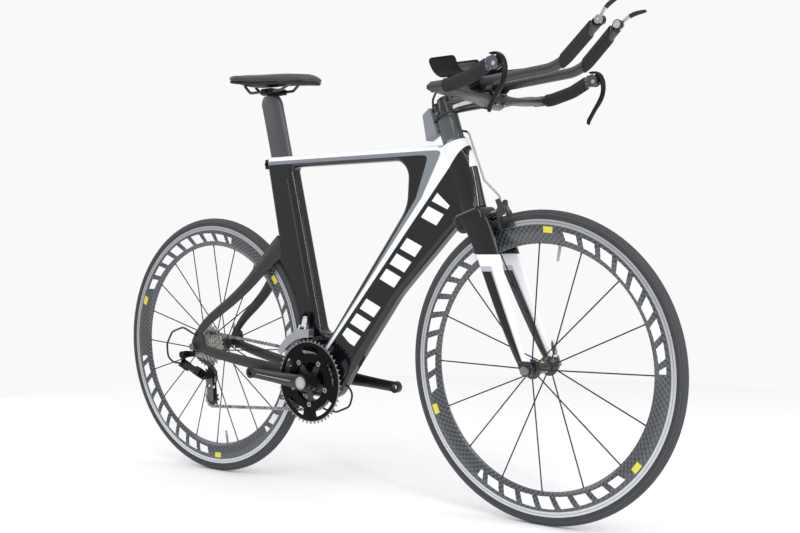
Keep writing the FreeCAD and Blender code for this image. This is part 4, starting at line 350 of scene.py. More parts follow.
class BikePaint(bpy.types.PropertyGroup):
    """Colours of the bike's finishes."""

    black: bpy.props.FloatVectorProperty(name="Gloss black",
                                         description="Main colour of the frame and fork",
                                         subtype="COLOR", default=shade(11, 12, 15), min=0, max=1)
    white: bpy.props.FloatVectorProperty(name="White",
                                         description="White bands of the frame, fork, stem and wheels",
                                         subtype="COLOR", default=shade(236, 238, 240), min=0, max=1)
    grey: bpy.props.FloatVectorProperty(name="Grey", description="Grey lines of the frame",
                                        subtype="COLOR", default=shade(122, 128, 136), min=0, max=1)
    satin: bpy.props.FloatVectorProperty(name="Satin black", description="Seat stays and chain stays",
                                         subtype="COLOR", default=shade(30, 31, 33), min=0, max=1)
    silver: bpy.props.FloatVectorProperty(name="Silver", description="Polished and blasted alloy parts",
                                          subtype="COLOR", default=shade(204, 207, 212), min=0, max=1)
    steel: bpy.props.FloatVectorProperty(name="Steel", description="Axles, bearings and brake bolts",
                                         subtype="COLOR", default=shade(150, 152, 156), min=0, max=1)
    rubber: bpy.props.FloatVectorProperty(name="Rubber", description="Tyres",
                                          subtype="COLOR", default=shade(58, 60, 63), min=0, max=1)
    tag: bpy.props.FloatVectorProperty(name="Tag yellow", description="Small tags on the wheels",
                                       subtype="COLOR", default=shade(214, 205, 40), min=0, max=1)


class BikeHardware(bpy.types.PropertyGroup):
    """Sizes of the small hardware."""

    nipple_length: bpy.props.FloatProperty(name="Nipple length",
                                           description="Spoke nipple shown below the rim",
                                           default=0.011, unit="LENGTH", min=0.004, max=0.03)
    nipple_radius: bpy.props.FloatProperty(name="Nipple radius", description="Radius of a spoke nipple",
                                           default=0.0021, unit="LENGTH", min=0.001, max=0.004)
    rivet_radius: bpy.props.FloatProperty(name="Rivet radius",
                                          description="Radius of a chain rivet's head",
                                          default=0.0018, unit="LENGTH", min=0.001, max=0.003)
    valve_length: bpy.props.FloatProperty(name="Valve length",
                                          description="Valve stem shown below the rim",
                                          default=0.034, unit="LENGTH", min=0.01, max=0.08)
    pad_swell: bpy.props.FloatProperty(name="Pad swell", description="How far the saddle cover swells",
                                       default=0.0022, unit="LENGTH", min=0, max=0.01)


def flaked_black(finish, paint):
    """Gloss black with fine metal flakes."""
    flake = finish.noise(2600, 1.0).above(0.70, 0.08)
    return finish.mix(flake * 0.35, tuple(paint.black), shade(60, 68, 84))


def frame_paint(paint):
    """Gloss black frame with white and grey bands over the top tube and along the down tube."""
    finish = Finish("frame_paint", roughness=0.32, coat=1.0, coat_roughness=0.03, specular=0.12)
    x, _, z = finish.place()
    inside = z * DOWN_TUBE_X - x * DOWN_TUBE_Z - DOWN_TUBE_TOP
    white_width = z * 0.026 - 2.4 + z.above(745, 90) * 18
    grey_width = 3 + z.above(600, 200) * 9 + z.above(740, 80) * 11
    past_white = inside - white_width
    past_grey = past_white - grey_width
    under_top = TOP_BAND_Z - z
    banded = z.above(BANDS_FOOT_Z, 3) * inside.above(0, PAINT_EDGE) * x.above(BANDS_REAR_X, 4)
    white = past_white.rounded_least(under_top, BAND_BLEND).below(0, PAINT_EDGE) * banded
    grey = past_grey.rounded_least(under_top - TOP_GREY_WIDTH, BAND_BLEND).below(0, PAINT_EDGE) * banded
    ahead = (x - HEAD_FOOT_X) * HEAD_AXIS_Z + (z - HEAD_FOOT_Z) * HEAD_AXIS_X
    up_axis = (z - HEAD_FOOT_Z) * HEAD_AXIS_Z - (x - HEAD_FOOT_X) * HEAD_AXIS_X
    collar = up_axis.above(COLLAR_FOOT, PAINT_EDGE) * x.above(COLLAR_REAR_X, PAINT_EDGE)
    patch_rear = up_axis * 0.17 - 55.5
    patch = (ahead - patch_rear).above(0, PAINT_EDGE) * up_axis.above(PATCH_FOOT, PAINT_EDGE)
    white = white.either(collar).either(patch)
    run = x * DOWN_TUBE_X + z * DOWN_TUBE_Z
    across = inside * -1
    lean = run - across * BAR_SLANT
    bars = (lean % BAR_PITCH).above(BAR_GAP, 1.0) * across.between(*BAR_ENDS, 1.0)
    grouped = (lean % BAR_GROUP).above(BAR_PITCH + BAR_GAP / 2, 1.0) * run.between(*BAR_RUN, 1.0)
    from_seat_tube_front = x + (z - 351) * 0.2265 + 116
    seam = from_seat_tube_front.between(*SEAM_EDGES, 0.5) * z.between(*SEAM_RUN, 2) * x.below(-120, 1)
    colour = finish.mix(grey, flaked_black(finish, paint), tuple(paint.grey))
    colour = finish.mix(white.either(bars * grouped), colour, tuple(paint.white))
    colour = finish.mix(seam * 0.5, colour, tuple(paint.grey))
    return finish.set(colour=colour, roughness=finish.noise(60, 3) * 0.08 + 0.26)


def fork_paint(paint):
    """Gloss black crown, a white band, and legs that are dark behind, with white and silver down their front
    edges that are a painted highlight.
    """
    finish = Finish("fork_paint", roughness=0.3, coat=1.0, coat_roughness=0.03, specular=0.12)
    x, y, z = finish.place()
    side = abs(y).above(20, 3)
    leg_middle = 647.2 - z * 0.443
    leg_depth = z * 0.083 - 15.4
    forward = (x - leg_middle) / leg_depth
    leg = z.between(FORK_BARE_Z, FORK_LEG_TOP_Z, 2)
    # The white and silver bands round the leg tops are paint. The white and silver down the legs' front
    # edges (forward past 0.36 and 0.2) are a painted highlight, a lamp's reflection put into the colour.
    white = (z.between(*FORK_WHITE_Z, 1.0) * side).either(forward.above(0.36, 0.06) * leg)
    silver = (z.between(*FORK_SILVER_Z, 1.0) * side).either(forward.above(0.2, 0.06) * leg)
    colour = finish.mix(silver, flaked_black(finish, paint), shade(176, 180, 188))
    colour = finish.mix(white, colour, tuple(paint.white))
    colour = finish.mix(z.below(FORK_BARE_Z, 1.5), colour, shade(40, 42, 45))
    return finish.set(colour=colour, roughness=finish.noise(60, 3) * 0.08 + 0.24)


def satin_carbon(name, colour, rough, coat):
    """Satin lacquer over a faint weave."""
    finish = Finish(name, roughness=rough, coat=coat, coat_roughness=0.25)
    x, _, z = finish.place()
    warp = ((x + z) / CARBON_CELL + ((x - z) / CARBON_CELL).math("FLOOR") * 2) % 4
    weave = warp.above(2, 0.6)
    cloud = finish.noise(9, 4)
    tone = finish.mix(weave * 0.35 + cloud * 0.3, colour, scaled(colour, 2.0, 0.004))
    return finish.set(colour=tone, roughness=cloud * 0.14 + (rough - 0.07))


def alloy(name, colour, rough, metallic=1.0, depth=0.02):
    """Blasted metal."""
    finish = Finish(name, roughness=rough, metallic=metallic)
    grains = finish.noise(900, 3)
    cloud = finish.noise(14, 3)
    tone = finish.mix(grains * 0.35 + cloud * 0.25, scaled(colour, 0.8), colour)
    finish.bump(grains, depth)
    return finish.set(colour=tone, roughness=grains * 0.12 + cloud * 0.08 + (rough - 0.09))


def moulded(name, colour, rough, grain=1400, depth=0.04):
    """Moulded plastic or rubber with a fine skin."""
    finish = Finish(name, roughness=rough)
    skin = finish.cells(grain)
    cloud = finish.noise(16, 3)
    tone = finish.mix(cloud * 0.5, colour, scaled(colour, 1.5, 0.002))
    finish.bump(skin, depth)
    return finish.set(colour=tone, roughness=cloud * 0.14 + (rough - 0.07))


def fairing_carbon(paint, end, centre):
    """Lacquered twill with white slanted bars and small tags on both flanks."""
    finish = Finish(end + "_fairing_carbon", roughness=0.35, coat=0.8, coat_roughness=0.06)
    radius, angle, _ = finish.wheel_place(centre)
    around = angle * math.radians(FAIRING_MIDDLE) / TWILL_CELL
    outward = radius / TWILL_CELL
    twill = ((around + outward.math("FLOOR")) % 4).above(2, 0.3)
    cross = ((outward - around.math("FLOOR")) % 4).above(2, 0.3)
    weave = twill * 0.65 + cross * 0.35
    carbon = finish.mix(weave, shade(36, 38, 42), shade(82, 86, 92))
    white = None
    yellow = None
    for tag in TAG_ANGLES[end]:
        turn = (tag - angle) % 360
        lean = turn + (radius - FAIRING_MIDDLE) * 0.11
        dash = (lean % DASH_PITCH).between(*DASH_EDGES, 0.12) * turn.between(*DASH_RUN, 0.3)
        off_middle = abs(turn - DASH_MIDDLE)
        inner = off_middle * 0.14 + 271
        outer = 297 - off_middle * 0.12
        mark = dash * (radius - inner).above(0, 0.7) * (outer - radius).above(0, 0.7)
        square = turn.between(0, TAG_WIDTH, 0.15) * radius.between(*TAG_RADII, 0.6)
        white = mark if white is None else white.either(mark)
        yellow = square if yellow is None else yellow.either(square)
    colour = finish.mix(white, carbon, tuple(paint.white))
    colour = finish.mix(yellow, colour, tuple(paint.tag))
    return finish.set(colour=colour, roughness=weave * 0.1 + 0.26)


def rim_alloy(end, centre):
    """Machined brake track with turning lines, and a wear groove drawn only as a dark line of painted shade,
    without relief.
    """
    finish = Finish(end + "_rim_alloy", roughness=0.3, metallic=1.0)
    radius, _, _ = finish.wheel_place(centre)
    lines = radius.ripple(2.2)
    groove = radius.between(*WEAR_GROOVE, 0.2)
    cloud = finish.noise(30, 3)
    tone = finish.mix(lines * 0.35 + cloud * 0.2, shade(222, 224, 228), shade(186, 189, 194))
    # The dark ring at the wear groove is painted shade standing in for the groove, which has no relief here.
    tone = finish.mix(groove, tone, shade(70, 72, 76))
    finish.bump(lines, 0.03)
    return finish.set(colour=tone, roughness=lines * 0.12 + cloud * 0.1 + 0.2)


def tyre_rubber(paint, end, centre):
    """Slick tread with fine cross file marks and a smoother flank with one pale moulding line."""
    finish = Finish(end + "_tyre_rubber", roughness=0.62, specular=0.4)
    radius, angle, y = finish.wheel_place(centre)
    tread = radius.above(TREAD_RADIUS, 1.5)
    files = ((angle * 5.8 + abs(y) * 0.9) % 1).between(0.3, 0.7, 0.25)
    cloud = finish.noise(24, 4)
    base = tuple(paint.rubber)
    flank = finish.mix(cloud * 0.6, scaled(base, 0.75), scaled(base, 1.1))
    crown = finish.mix(cloud * 0.6, scaled(base, 0.95), scaled(base, 1.35))
    line = radius.between(*FLANK_LINE, 0.3)
    colour = finish.mix(tread, flank, crown)
    colour = finish.mix(line * 0.35, colour, shade(120, 122, 126))
    finish.bump(tread * files * 0.6 + cloud * 0.3, 0.12)
    return finish.set(colour=colour, roughness=cloud * 0.16 + tread * 0.08 + 0.5)


def ring_metal():
    """Black anodised chainrings with bare tooth edges and bright bolts."""
    finish = Finish("chainring_metal", roughness=0.36, metallic=1.0)
    radius, angle, y = finish.wheel_place(CRANK_CENTRE)
    outer = y.below(BETWEEN_RINGS, 0.2)
    big, small = BARE_TEETH
    bare = (radius.above(big, 0.8) * outer).either(radius.above(small, 0.6) * (1 - outer))
    half_step = RING_BOLT_STEP / 2
    from_bolt = abs((angle - RING_FIRST_BOLT + half_step) % RING_BOLT_STEP - half_step)
    bolts = from_bolt.below(6.6, 0.4) * radius.between(*RING_BOLT_REACH, 0.5)
    heads = bolts * (1 - y.between(*RING_BOLT_FACES, 0.05))
    turning = radius.ripple(1.6)
    black = finish.mix(turning * 0.3, shade(26, 27, 29), shade(44, 45, 48))
    colour = finish.mix(bare, black, shade(150, 152, 156))
    colour = finish.mix(heads, colour, shade(168, 170, 174))
    finish.bump(turning, 0.01)
    return finish.set(colour=colour, roughness=turning * 0.1 + 0.3)


def crank_gloss(paint):
    """Gloss black arms with a fine silver line, a bare axle and cap."""
    finish = Finish("crank_gloss", roughness=0.4, coat=0.35)
    x, y, z = finish.place(CRANK_CENTRE)
    arm_x = math.cos(math.radians(CRANK_ANGLE))
    arm_z = math.sin(math.radians(CRANK_ANGLE))
    along = abs(x * arm_x + z * arm_z)
    across = abs(z * arm_x - x * arm_z)
    radius = x.distance(z)
    outer = abs(y).above(CRANK_FACE, 0.4)
    line = across.below(0.7, 0.3) * along.between(*CRANK_LINE, 1) * outer
    cap = radius.below(CRANK_CAP_RADIUS, 0.4) * outer
    rim = radius.between(11.2, 12.0, 0.3) * outer
    axle = radius.below(CRANK_AXLE_RADIUS, 0.3) * abs(y).below(56, 0.3)
    bare = line.either(cap).either(axle)
    cloud = finish.noise(40, 3)
    colour = finish.mix(cloud * 0.4, shade(8, 8, 9), shade(18, 18, 20))
    colour = finish.mix(bare, colour, tuple(paint.silver))
    colour = finish.mix(rim, colour, shade(60, 61, 64))
    return finish.set(colour=colour, metallic=bare, roughness=cloud * 0.1 + 0.36)


def chain_steel():
    """Worn steel links with darker rollers and patches of oil."""
    finish = Finish("chain_steel", roughness=0.34, metallic=1.0)
    _, y, _ = finish.place()
    plates = abs(y - CHAIN_MIDDLE).above(PLATES_INSIDE, 0.1)
    wear = finish.noise(420, 3)
    oil = finish.noise(55, 4).above(0.55, 0.2)
    tone = finish.mix(plates, shade(112, 112, 114), shade(168, 169, 172))
    tone = finish.mix(oil * 0.55, tone, shade(72, 70, 68))
    finish.bump(wear, 0.03)
    return finish.set(colour=tone, roughness=wear * 0.16 + oil * 0.12 + 0.24)


def cassette_steel():
    """Plated cogs with turning lines and patches of oil."""
    finish = Finish("cassette_steel", roughness=0.32, metallic=0.45)
    x, _, z = finish.place(REAR_HUB)
    turning = x.distance(z).ripple(2.6)
    oil = finish.noise(70, 4).above(0.58, 0.2)
    tone = finish.mix(turning * 0.3, shade(214, 213, 208), shade(176, 175, 170))
    tone = finish.mix(oil * 0.3, tone, shade(110, 106, 100))
    finish.bump(turning, 0.02)
    return finish.set(colour=tone, roughness=turning * 0.12 + oil * 0.15 + 0.2)


def tape_wrap():
    """Cork tape wound round the grips, with the overlap's edge every turn, darkened there by painted shade.
    """
    finish = Finish("bar_tape", roughness=0.72, specular=0.35)
    x, y, z = finish.place()
    turn = (x + z * 0.35 + abs(y) * 0.18) / TAPE_LAP % 1
    lap = turn.between(0.02, 0.92, 0.12) * (1 - turn * 0.35)
    pores = finish.cells(520)
    cloud = finish.noise(120, 4)
    # The darker line at the start of each turn is painted shade in the step where one lap overlaps the next.
    tone = finish.mix(turn.below(0.09, 0.06) * 0.7, shade(30, 30, 31), shade(12, 12, 13))
    tone = finish.mix(cloud * 0.35, tone, shade(52, 52, 54))
    finish.bump(lap + pores * 0.12 + cloud * 0.1, 1.5)
    return finish.set(colour=tone, roughness=cloud * 0.16 + 0.62)


def cover_skin(name, colour, rough, grain=900):
    """Fine grained cover of a pad or saddle."""
    finish = Finish(name, roughness=rough, specular=0.4, sheen=0.15)
    skin = finish.cells(grain)
    cloud = finish.noise(20, 4)
    tone = finish.mix(cloud * 0.5, colour, scaled(colour, 1.6, 0.002))
    finish.bump(skin * 0.6 + cloud * 0.4, 0.14)
    return finish.set(colour=tone, roughness=cloud * 0.16 + (rough - 0.08))


def stem_finish(paint):
    """Black stem with white flanks and bright bolt heads."""
    finish = Finish("stem_paint", roughness=0.3, coat=0.7)
    x, y, z = finish.place()
    over_axis = z - (x - STEM_FOOT_X) * STEM_RISE - STEM_FOOT_Z
    white = over_axis.between(4, 16, 0.8) * x.between(*STEM_WHITE_X, 2) * abs(y).above(8, 1)
    bolts = x.above(411.6, 0.3).either(abs(y).above(10.2, 0.2) * x.below(262, 1))
    cloud = finish.noise(50, 3)
    colour = finish.mix(cloud * 0.4, shade(24, 25, 27), shade(38, 39, 42))
    colour = finish.mix(white, colour, tuple(paint.white))
    colour = finish.mix(bolts, colour, shade(150, 152, 156))
    return finish.set(colour=colour, metallic=bolts, roughness=cloud * 0.1 + 0.24)


def front_cable_sleeve():
    """Black cable sleeves, pale on the run in front of the head tube."""
    finish = Finish("front_cable_sleeve", roughness=0.4)
    x, _, z = finish.place()
    grains = finish.noise(2200, 2)
    pale = x.above(PALE_CABLE_X, 1) * z.below(PALE_CABLE_Z, 1)
    tone = finish.mix(pale, shade(20, 20, 21), shade(172, 174, 178))
    return finish.set(colour=tone, roughness=grains * 0.1 + 0.34)


def lever_finish(paint):
    """Grey lever bodies on the base bar and black plugs at the tips, both with a bright pivot."""
    finish = Finish("lever_body_alloy", roughness=0.3, metallic=0.7, coat=0.3)
    x, _, z = finish.place()
    grains = finish.noise(700, 3, (1, 1, 3))
    brake_pivot = (x - BRAKE_PIVOT_X).distance(z - BRAKE_PIVOT_Z).below(4.6, 0.4)
    shift_pivot = (x - SHIFT_PIVOT_X).distance(z - SHIFT_PIVOT_Z).below(8.2, 0.4)
    plugs = z.above(PLUGS_Z, 1)
    tone = finish.mix(grains * 0.5, shade(92, 96, 106), shade(116, 120, 130))
    tone = finish.mix(plugs, tone, shade(34, 35, 38))
    tone = finish.mix(brake_pivot.either(shift_pivot), tone, tuple(paint.silver))
    finish.bump(grains, 0.02)
    return finish.set(colour=tone, roughness=grains * 0.14 + 0.22)


def shift_finish(paint):
    """Bare shift levers with long black grips."""
    finish = Finish("shift_lever_alloy", roughness=0.3, metallic=1.0)
    x, _, z = finish.place()
    grip = (x - SHIFT_PIVOT_X).distance(z - SHIFT_PIVOT_Z).above(SHIFT_GRIP_START, 1.0)
    grains = finish.noise(700, 3)
    tone = finish.mix(grains * 0.4, tuple(paint.silver), shade(168, 171, 176))
    tone = finish.mix(grip, tone, shade(26, 26, 28))
    return finish.set(colour=tone, metallic=1 - grip, roughness=grains * 0.14 + 0.2 + grip * 0.2)


def hub_finish(paint, end, centre):
    """Black turned hub shell with one small tag."""
    finish = Finish(end + "_hub_black", roughness=0.3, coat=0.5)
    radius, angle, y = finish.wheel_place(centre)
    turning = y.ripple(2.0)
    mark = y.between(-6, 4, 0.4) * radius.below(13.6, 0.3) * angle.between(60, 120, 2)
    colour = finish.mix(turning * 0.3, shade(22, 23, 25), shade(40, 41, 44))
    colour = finish.mix(mark, colour, tuple(paint.tag))
    finish.bump(turning, 0.01)
    return finish.set(colour=colour, roughness=turning * 0.1 + 0.26)


def caliper_finish(end, centre):
    """Black caliper with a rubber brake block and a bright pivot face."""
    finish = Finish(end + "_caliper_black", roughness=0.32, coat=0.4)
    x, y, z = finish.place(centre)
    radius = x.distance(z)
    side = abs(y)
    block = side.below(BLOCK_SIDE, 0.3) * radius.between(*BLOCK_RADII, 0.4)
    pivot = radius.between(*CALIPER_PIVOT_RADII, 1) * side.below(8.8, 0.3)
    cloud = finish.noise(60, 3)
    colour = finish.mix(cloud * 0.4, shade(26, 27, 29), shade(42, 43, 46))
    colour = finish.mix(block, colour, shade(40, 38, 38))
    colour = finish.mix(pivot * 0.6, colour, shade(110, 112, 116))
    return finish.set(colour=colour, roughness=block * 0.3 + cloud * 0.1 + 0.26)


def cover(mesh, material):
    """Give a mesh one material and smooth faces."""
    mesh.materials.clear()
    mesh.materials.append(material)
    for face in mesh.polygons:
        face.use_smooth = True


def linked(name, data):
    """A new object in the scene."""
    item = bpy.data.objects.new(name, data)
    bpy.context.scene.collection.objects.link(item)
    return item


def new_piece(name, mesh, body, material):
    """Link a finished mesh as a piece that rides on a body."""
    piece = linked(name, mesh)
    cover(mesh, material)
    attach(piece, body)
    return piece


def solid_copy(node, name):
    """A closed copy of a CAD node's mesh, with its loose triangles joined."""
    mesh = NODES[node].data.copy()
    mesh.name = name
    work = bmesh.new()
    work.from_mesh(mesh)
    bmesh.ops.remove_doubles(work, verts=work.verts, dist=WELD)
    bmesh.ops.recalc_face_normals(work, faces=work.faces)
    work.to_mesh(mesh)
    work.free()
    return mesh


def swollen(name, mesh, voxel, pressure, cap, frames=16):
    """Remesh a closed shape evenly and let its cover swell a little, as cloth under pressure does."""
    pad = linked(name, mesh)
    remesh = pad.modifiers.new("even", "REMESH")
    remesh.mode = "VOXEL"
    remesh.voxel_size = voxel
    smooth = pad.modifiers.new("ease", "SMOOTH")
    smooth.factor = 0.5
    smooth.iterations = 6
    graph = bpy.context.evaluated_depsgraph_get()
    even = bpy.data.meshes.new_from_object(pad.evaluated_get(graph))
    pad.modifiers.clear()
    pad.data = even
    swell(pad, pressure, cap, frames)
    finer = pad.modifiers.new("finer", "SUBSURF")
    finer.levels = 1
    finer.render_levels = 1
    return pad


def swell(pad, pressure, cap, frames):
    """Move a pad's points as pressed cloth moves, none further than the cap."""
    rest = [v.co.copy() for v in pad.data.vertices]
    cloth = pad.modifiers.new("cover", "CLOTH")
    cloth.settings.use_pressure = True
    cloth.settings.uniform_pressure_force = pressure
    cloth.settings.effector_weights.gravity = 0
    cloth.settings.quality = 4
    cloth.point_cache.frame_start = 1
    cloth.point_cache.frame_end = frames
    scene = bpy.context.scene
    for moment in range(1, frames + 1):
        scene.frame_set(moment)
    graph = bpy.context.evaluated_depsgraph_get()
    moved = [v.co.copy() for v in pad.evaluated_get(graph).data.vertices]
    pad.modifiers.clear()
    scene.frame_set(1)
    for vertex, start, end in zip(pad.data.vertices, rest, moved):
        step = end - start
        if step.length > cap:
            step *= cap / step.length
        vertex.co = start + step


def turned(name, profile, foot, axis, sides=20):
    """Closed turned mesh from (radius, height) pairs, standing on a foot along an axis. Metres."""
    turn = Vector(axis).normalized().to_track_quat("Z", "Y").to_matrix()
    angles = [2 * math.pi * i / sides for i in range(sides)]
    work = bmesh.new()
    rings = []
    for radius, height in profile:
        corners = [Vector((radius * math.cos(a), radius * math.sin(a), height)) for a in angles]
        rings.append([work.verts.new(Vector(foot) + turn @ corner) for corner in corners])
    for low, high in zip(rings, rings[1:]):
        for i in range(sides):
            j = (i + 1) % sides
            work.faces.new((low[i], low[j], high[j], high[i]))
    work.faces.new(list(reversed(rings[0])))
    work.faces.new(rings[-1])
    bmesh.ops.recalc_face_normals(work, faces=work.faces)
    mesh = bpy.data.meshes.new(name)
    work.to_mesh(mesh)
    work.free()
    return mesh


class Tree:
    """A geometry tree with named inputs, written as short calls."""

    def __init__(self, name, material, inputs):
        self.tree = bpy.data.node_groups.new(name, "GeometryNodeTree")
        self.tree.interface.new_socket("Geometry", in_out="OUTPUT", socket_type="NodeSocketGeometry")
        self.material = material
        self.ids = {}
        for label, kind in inputs:
            socket = self.tree.interface.new_socket(label, in_out="INPUT", socket_type="NodeSocket" + kind)
            self.ids[label] = socket.identifier
        self.source = self.tree.nodes.new("NodeGroupInput")
        self.result = self.tree.nodes.new("NodeGroupOutput")

    def node(self, kind, settings=None, values=None):
        """A new node with its settings, and its inputs linked or filled."""
        node = self.tree.nodes.new(kind)
        for key, value in (settings or {}).items():
            setattr(node, key, value)
        for key, value in (values or {}).items():
            if isinstance(value, bpy.types.NodeSocket):
                self.tree.links.new(value, node.inputs[key])
            else:
                node.inputs[key].default_value = value
        return node

    def given(self, label):
        """The socket of a named input."""
        return self.source.outputs[label]

    def close(self, geometry):
        """End the tree with real geometry in its material."""
        real = self.node("GeometryNodeRealizeInstances", None, {0: geometry})
        coated = self.node("GeometryNodeSetMaterial", None,
                           {"Geometry": real.outputs[0], "Material": self.material})
        self.tree.links.new(coated.outputs[0], self.result.inputs[0])

    def mesh(self, name, values, start=None):
        """Run the tree on a mesh and give back a plain mesh."""
        holder = linked(name, start or bpy.data.meshes.new(name))
        modifier = holder.modifiers.new("make", "NODES")
        modifier.node_group = self.tree
        for label, value in values.items():
            modifier[self.ids[label]] = value
        graph = bpy.context.evaluated_depsgraph_get()
        mesh = bpy.data.meshes.new_from_object(holder.evaluated_get(graph))
        holder.modifiers.remove(modifier)
        bpy.data.objects.remove(holder)
        mesh.name = name
        return mesh


def nipple_tree(material):
    """Nipples on a circle, each pointing to the axle."""
    tree = Tree("spoke_nipples", material, (("Count", "Int"), ("Circle", "Float"), ("Length", "Float"),
                                            ("Radius", "Float"), ("Axle", "Vector")))
    circle = tree.node("GeometryNodeMeshCircle", None,
                       {"Vertices": tree.given("Count"), "Radius": tree.given("Circle")})
    thick = tree.node("ShaderNodeMath", {"operation": "MULTIPLY"}, {0: tree.given("Radius"), 1: 0.72})
    nipple = tree.node("GeometryNodeMeshCone", {"fill_type": "NGON"},
                       {"Vertices": 10, "Radius Top": tree.given("Radius"),
                        "Radius Bottom": thick.outputs[0], "Depth": tree.given("Length")})
    place = tree.node("GeometryNodeInputPosition")
    turn = tree.node("FunctionNodeAlignRotationToVector", {"axis": "Z"}, {"Vector": place.outputs[0]})
    on = tree.node("GeometryNodeInstanceOnPoints", None,
                   {"Points": circle.outputs[0], "Instance": nipple.outputs[0],
                    "Rotation": turn.outputs[0]})
    stand = tree.node("GeometryNodeTransform", None,
                      {"Geometry": on.outputs[0], "Translation": tree.given("Axle"),
                       "Rotation": (math.pi / 2, 0, 0)})
    tree.close(stand.outputs[0])
    return tree


def rivet_tree(material):
    """A pin through every chain roller, with a rivet head at both ends."""
    tree = Tree("chain_rivets", material, (("Points", "Geometry"), ("Radius", "Float"), ("Reach", "Float")))
    rivet = tree.node("GeometryNodeMeshCylinder", {"fill_type": "NGON"},
                      {"Vertices": 10, "Radius": tree.given("Radius"), "Depth": tree.given("Reach")})
    stand = tree.node("GeometryNodeTransform", None,
                      {"Geometry": rivet.outputs[0], "Rotation": (math.pi / 2, 0, 0)})
    on = tree.node("GeometryNodeInstanceOnPoints", None,
                   {"Points": tree.given("Points"), "Instance": stand.outputs[0]})
    tree.close(on.outputs[0])
    return tree


def loose_shapes(work):
    """Places of the points of each separate shape in a mesh."""
    seen = set()
    for first in work.verts:
        if first in seen:
            continue
        stack = [first]
        seen.add(first)
        shape = []
        while stack:
            vertex = stack.pop()
            shape.append(vertex.co)
            for edge in vertex.link_edges:
                other = edge.other_vert(vertex)
                if other not in seen:
                    seen.add(other)
                    stack.append(other)
        yield shape


def chain_pin_places():
    """Centres of the chain's rollers, which are the shapes that cross its middle plane."""
    work = bmesh.new()
    work.from_mesh(NODES["chain"].data)
    bmesh.ops.remove_doubles(work, verts=work.verts, dist=WELD)
    places = []
    for shape in loose_shapes(work):
        sides = [point.y for point in shape]
        if min(sides) < CHAIN_SIDE < max(sides):
            places.append(sum(shape, Vector()) / len(shape))
    work.free()
    return places


class BIKE_OT_paint_frame(bpy.types.Operator):
    """Paint the frame, fork, seat and bars"""

    bl_idname = "bike.paint_frame"
    bl_label = "Paint frame and bars"

    def execute(self, context):
        paint = context.scene.bike_paint
        dress(frame_paint(paint), "main_frame")
        dress(fork_paint(paint), "fork")
        dress(satin_carbon("stay_carbon", tuple(paint.satin), 0.5, 0.1), "rear_stays")
        dress(satin_carbon("post_carbon", shade(52, 54, 58), 0.36, 0.4), "seatpost")
        dress(satin_carbon("bar_carbon", shade(38, 39, 41), 0.38, 0.4), "base_bar", "extensions")
        dress(satin_carbon("spacer_carbon", shade(58, 64, 66), 0.24, 0.9), "headset_spacers")
        dress(moulded("tail_cover_grey", shade(120, 123, 133), 0.42), "tail_cover")
        dress(stem_finish(paint), "stem")
        dress(moulded("saddle_base_plastic", shade(24, 24, 25), 0.55), "saddle_shell")
        dress(alloy("rail_metal", shade(96, 97, 100), 0.32), "saddle_rails")
        dress(alloy("black_anodised", shade(40, 41, 43), 0.38, metallic=0.9), "saddle_clamp",
              "seat_clamp", "armrests", "derailleur_hanger", "front_derailleur_mount")
        dress(tape_wrap(), "bar_tape")
        dress(moulded("cable_sleeve", shade(20, 20, 21), 0.4, 2200, 0.02), "frame_cables")
        dress(front_cable_sleeve(), "front_cables")
        dress(alloy("bearing_steel", tuple(paint.steel), 0.25), "frame_bearings")
        return {"FINISHED"}


class BIKE_OT_paint_wheels(bpy.types.Operator):
    """Finish both wheels"""

    bl_idname = "bike.paint_wheels"
    bl_label = "Finish wheels"

    def execute(self, context):
        paint = context.scene.bike_paint
        spokes = alloy("spoke_dark", shade(58, 60, 64), 0.3, metallic=0.8, depth=0.005)
        axle = alloy("axle_steel", tuple(paint.steel), 0.24)
        lever = alloy("skewer_lever_alloy", tuple(paint.silver), 0.22)
        for end, centre in WHEELS:
            dress(fairing_carbon(paint, end, centre), end + "_fairing")
            dress(rim_alloy(end, centre), end + "_rim")
            dress(tyre_rubber(paint, end, centre), end + "_tyre")
            dress(hub_finish(paint, end, centre), end + "_hub")
            dress(spokes, end + "_spokes")
            dress(axle, end + "_axle")
            dress(lever, end + "_qr_lever")
        return {"FINISHED"}


class BIKE_OT_paint_drive(bpy.types.Operator):
    """Finish the drive train, controls and brakes"""

    bl_idname = "bike.paint_drive"
    bl_label = "Finish drive train, controls and brakes"

    def execute(self, context):
        paint = context.scene.bike_paint
        dress(ring_metal(), "chainrings")
        dress(crank_gloss(paint), "crank_arms")
        dress(chain_steel(), "chain")
        dress(cassette_steel(), "cassette")
        dress(alloy("derailleur_black", shade(44, 45, 48), 0.34, metallic=0.85), "rd_knuckle",
              "rd_outer_link", "rd_inner_link", "rd_lower_knuckle")
        dress(alloy("fd_cage_alloy", tuple(paint.silver), 0.28), "fd_cage", "fd_link")
        dress(alloy("rd_cage_alloy", shade(116, 118, 121), 0.36), "rd_cage")
        dress(moulded("pulley_plastic", shade(28, 28, 30), 0.45), "rd_guide_pulley", "rd_tension_pulley")
        dress(lever_finish(paint), "lever_housings")
        dress(shift_finish(paint), "shift_lever_left", "shift_lever_right")
        dress(alloy("brake_blade_black", shade(30, 31, 33), 0.3, metallic=0.7), "brake_lever_left",
              "brake_lever_right")
        for end, centre in WHEELS:
            dress(caliper_finish(end, centre), end + "_brake_arm_left", end + "_brake_arm_right")
        dress(alloy("bolt_steel", tuple(paint.steel), 0.26), "front_brake_mount", "rear_brake_mount")
        return {"FINISHED"}


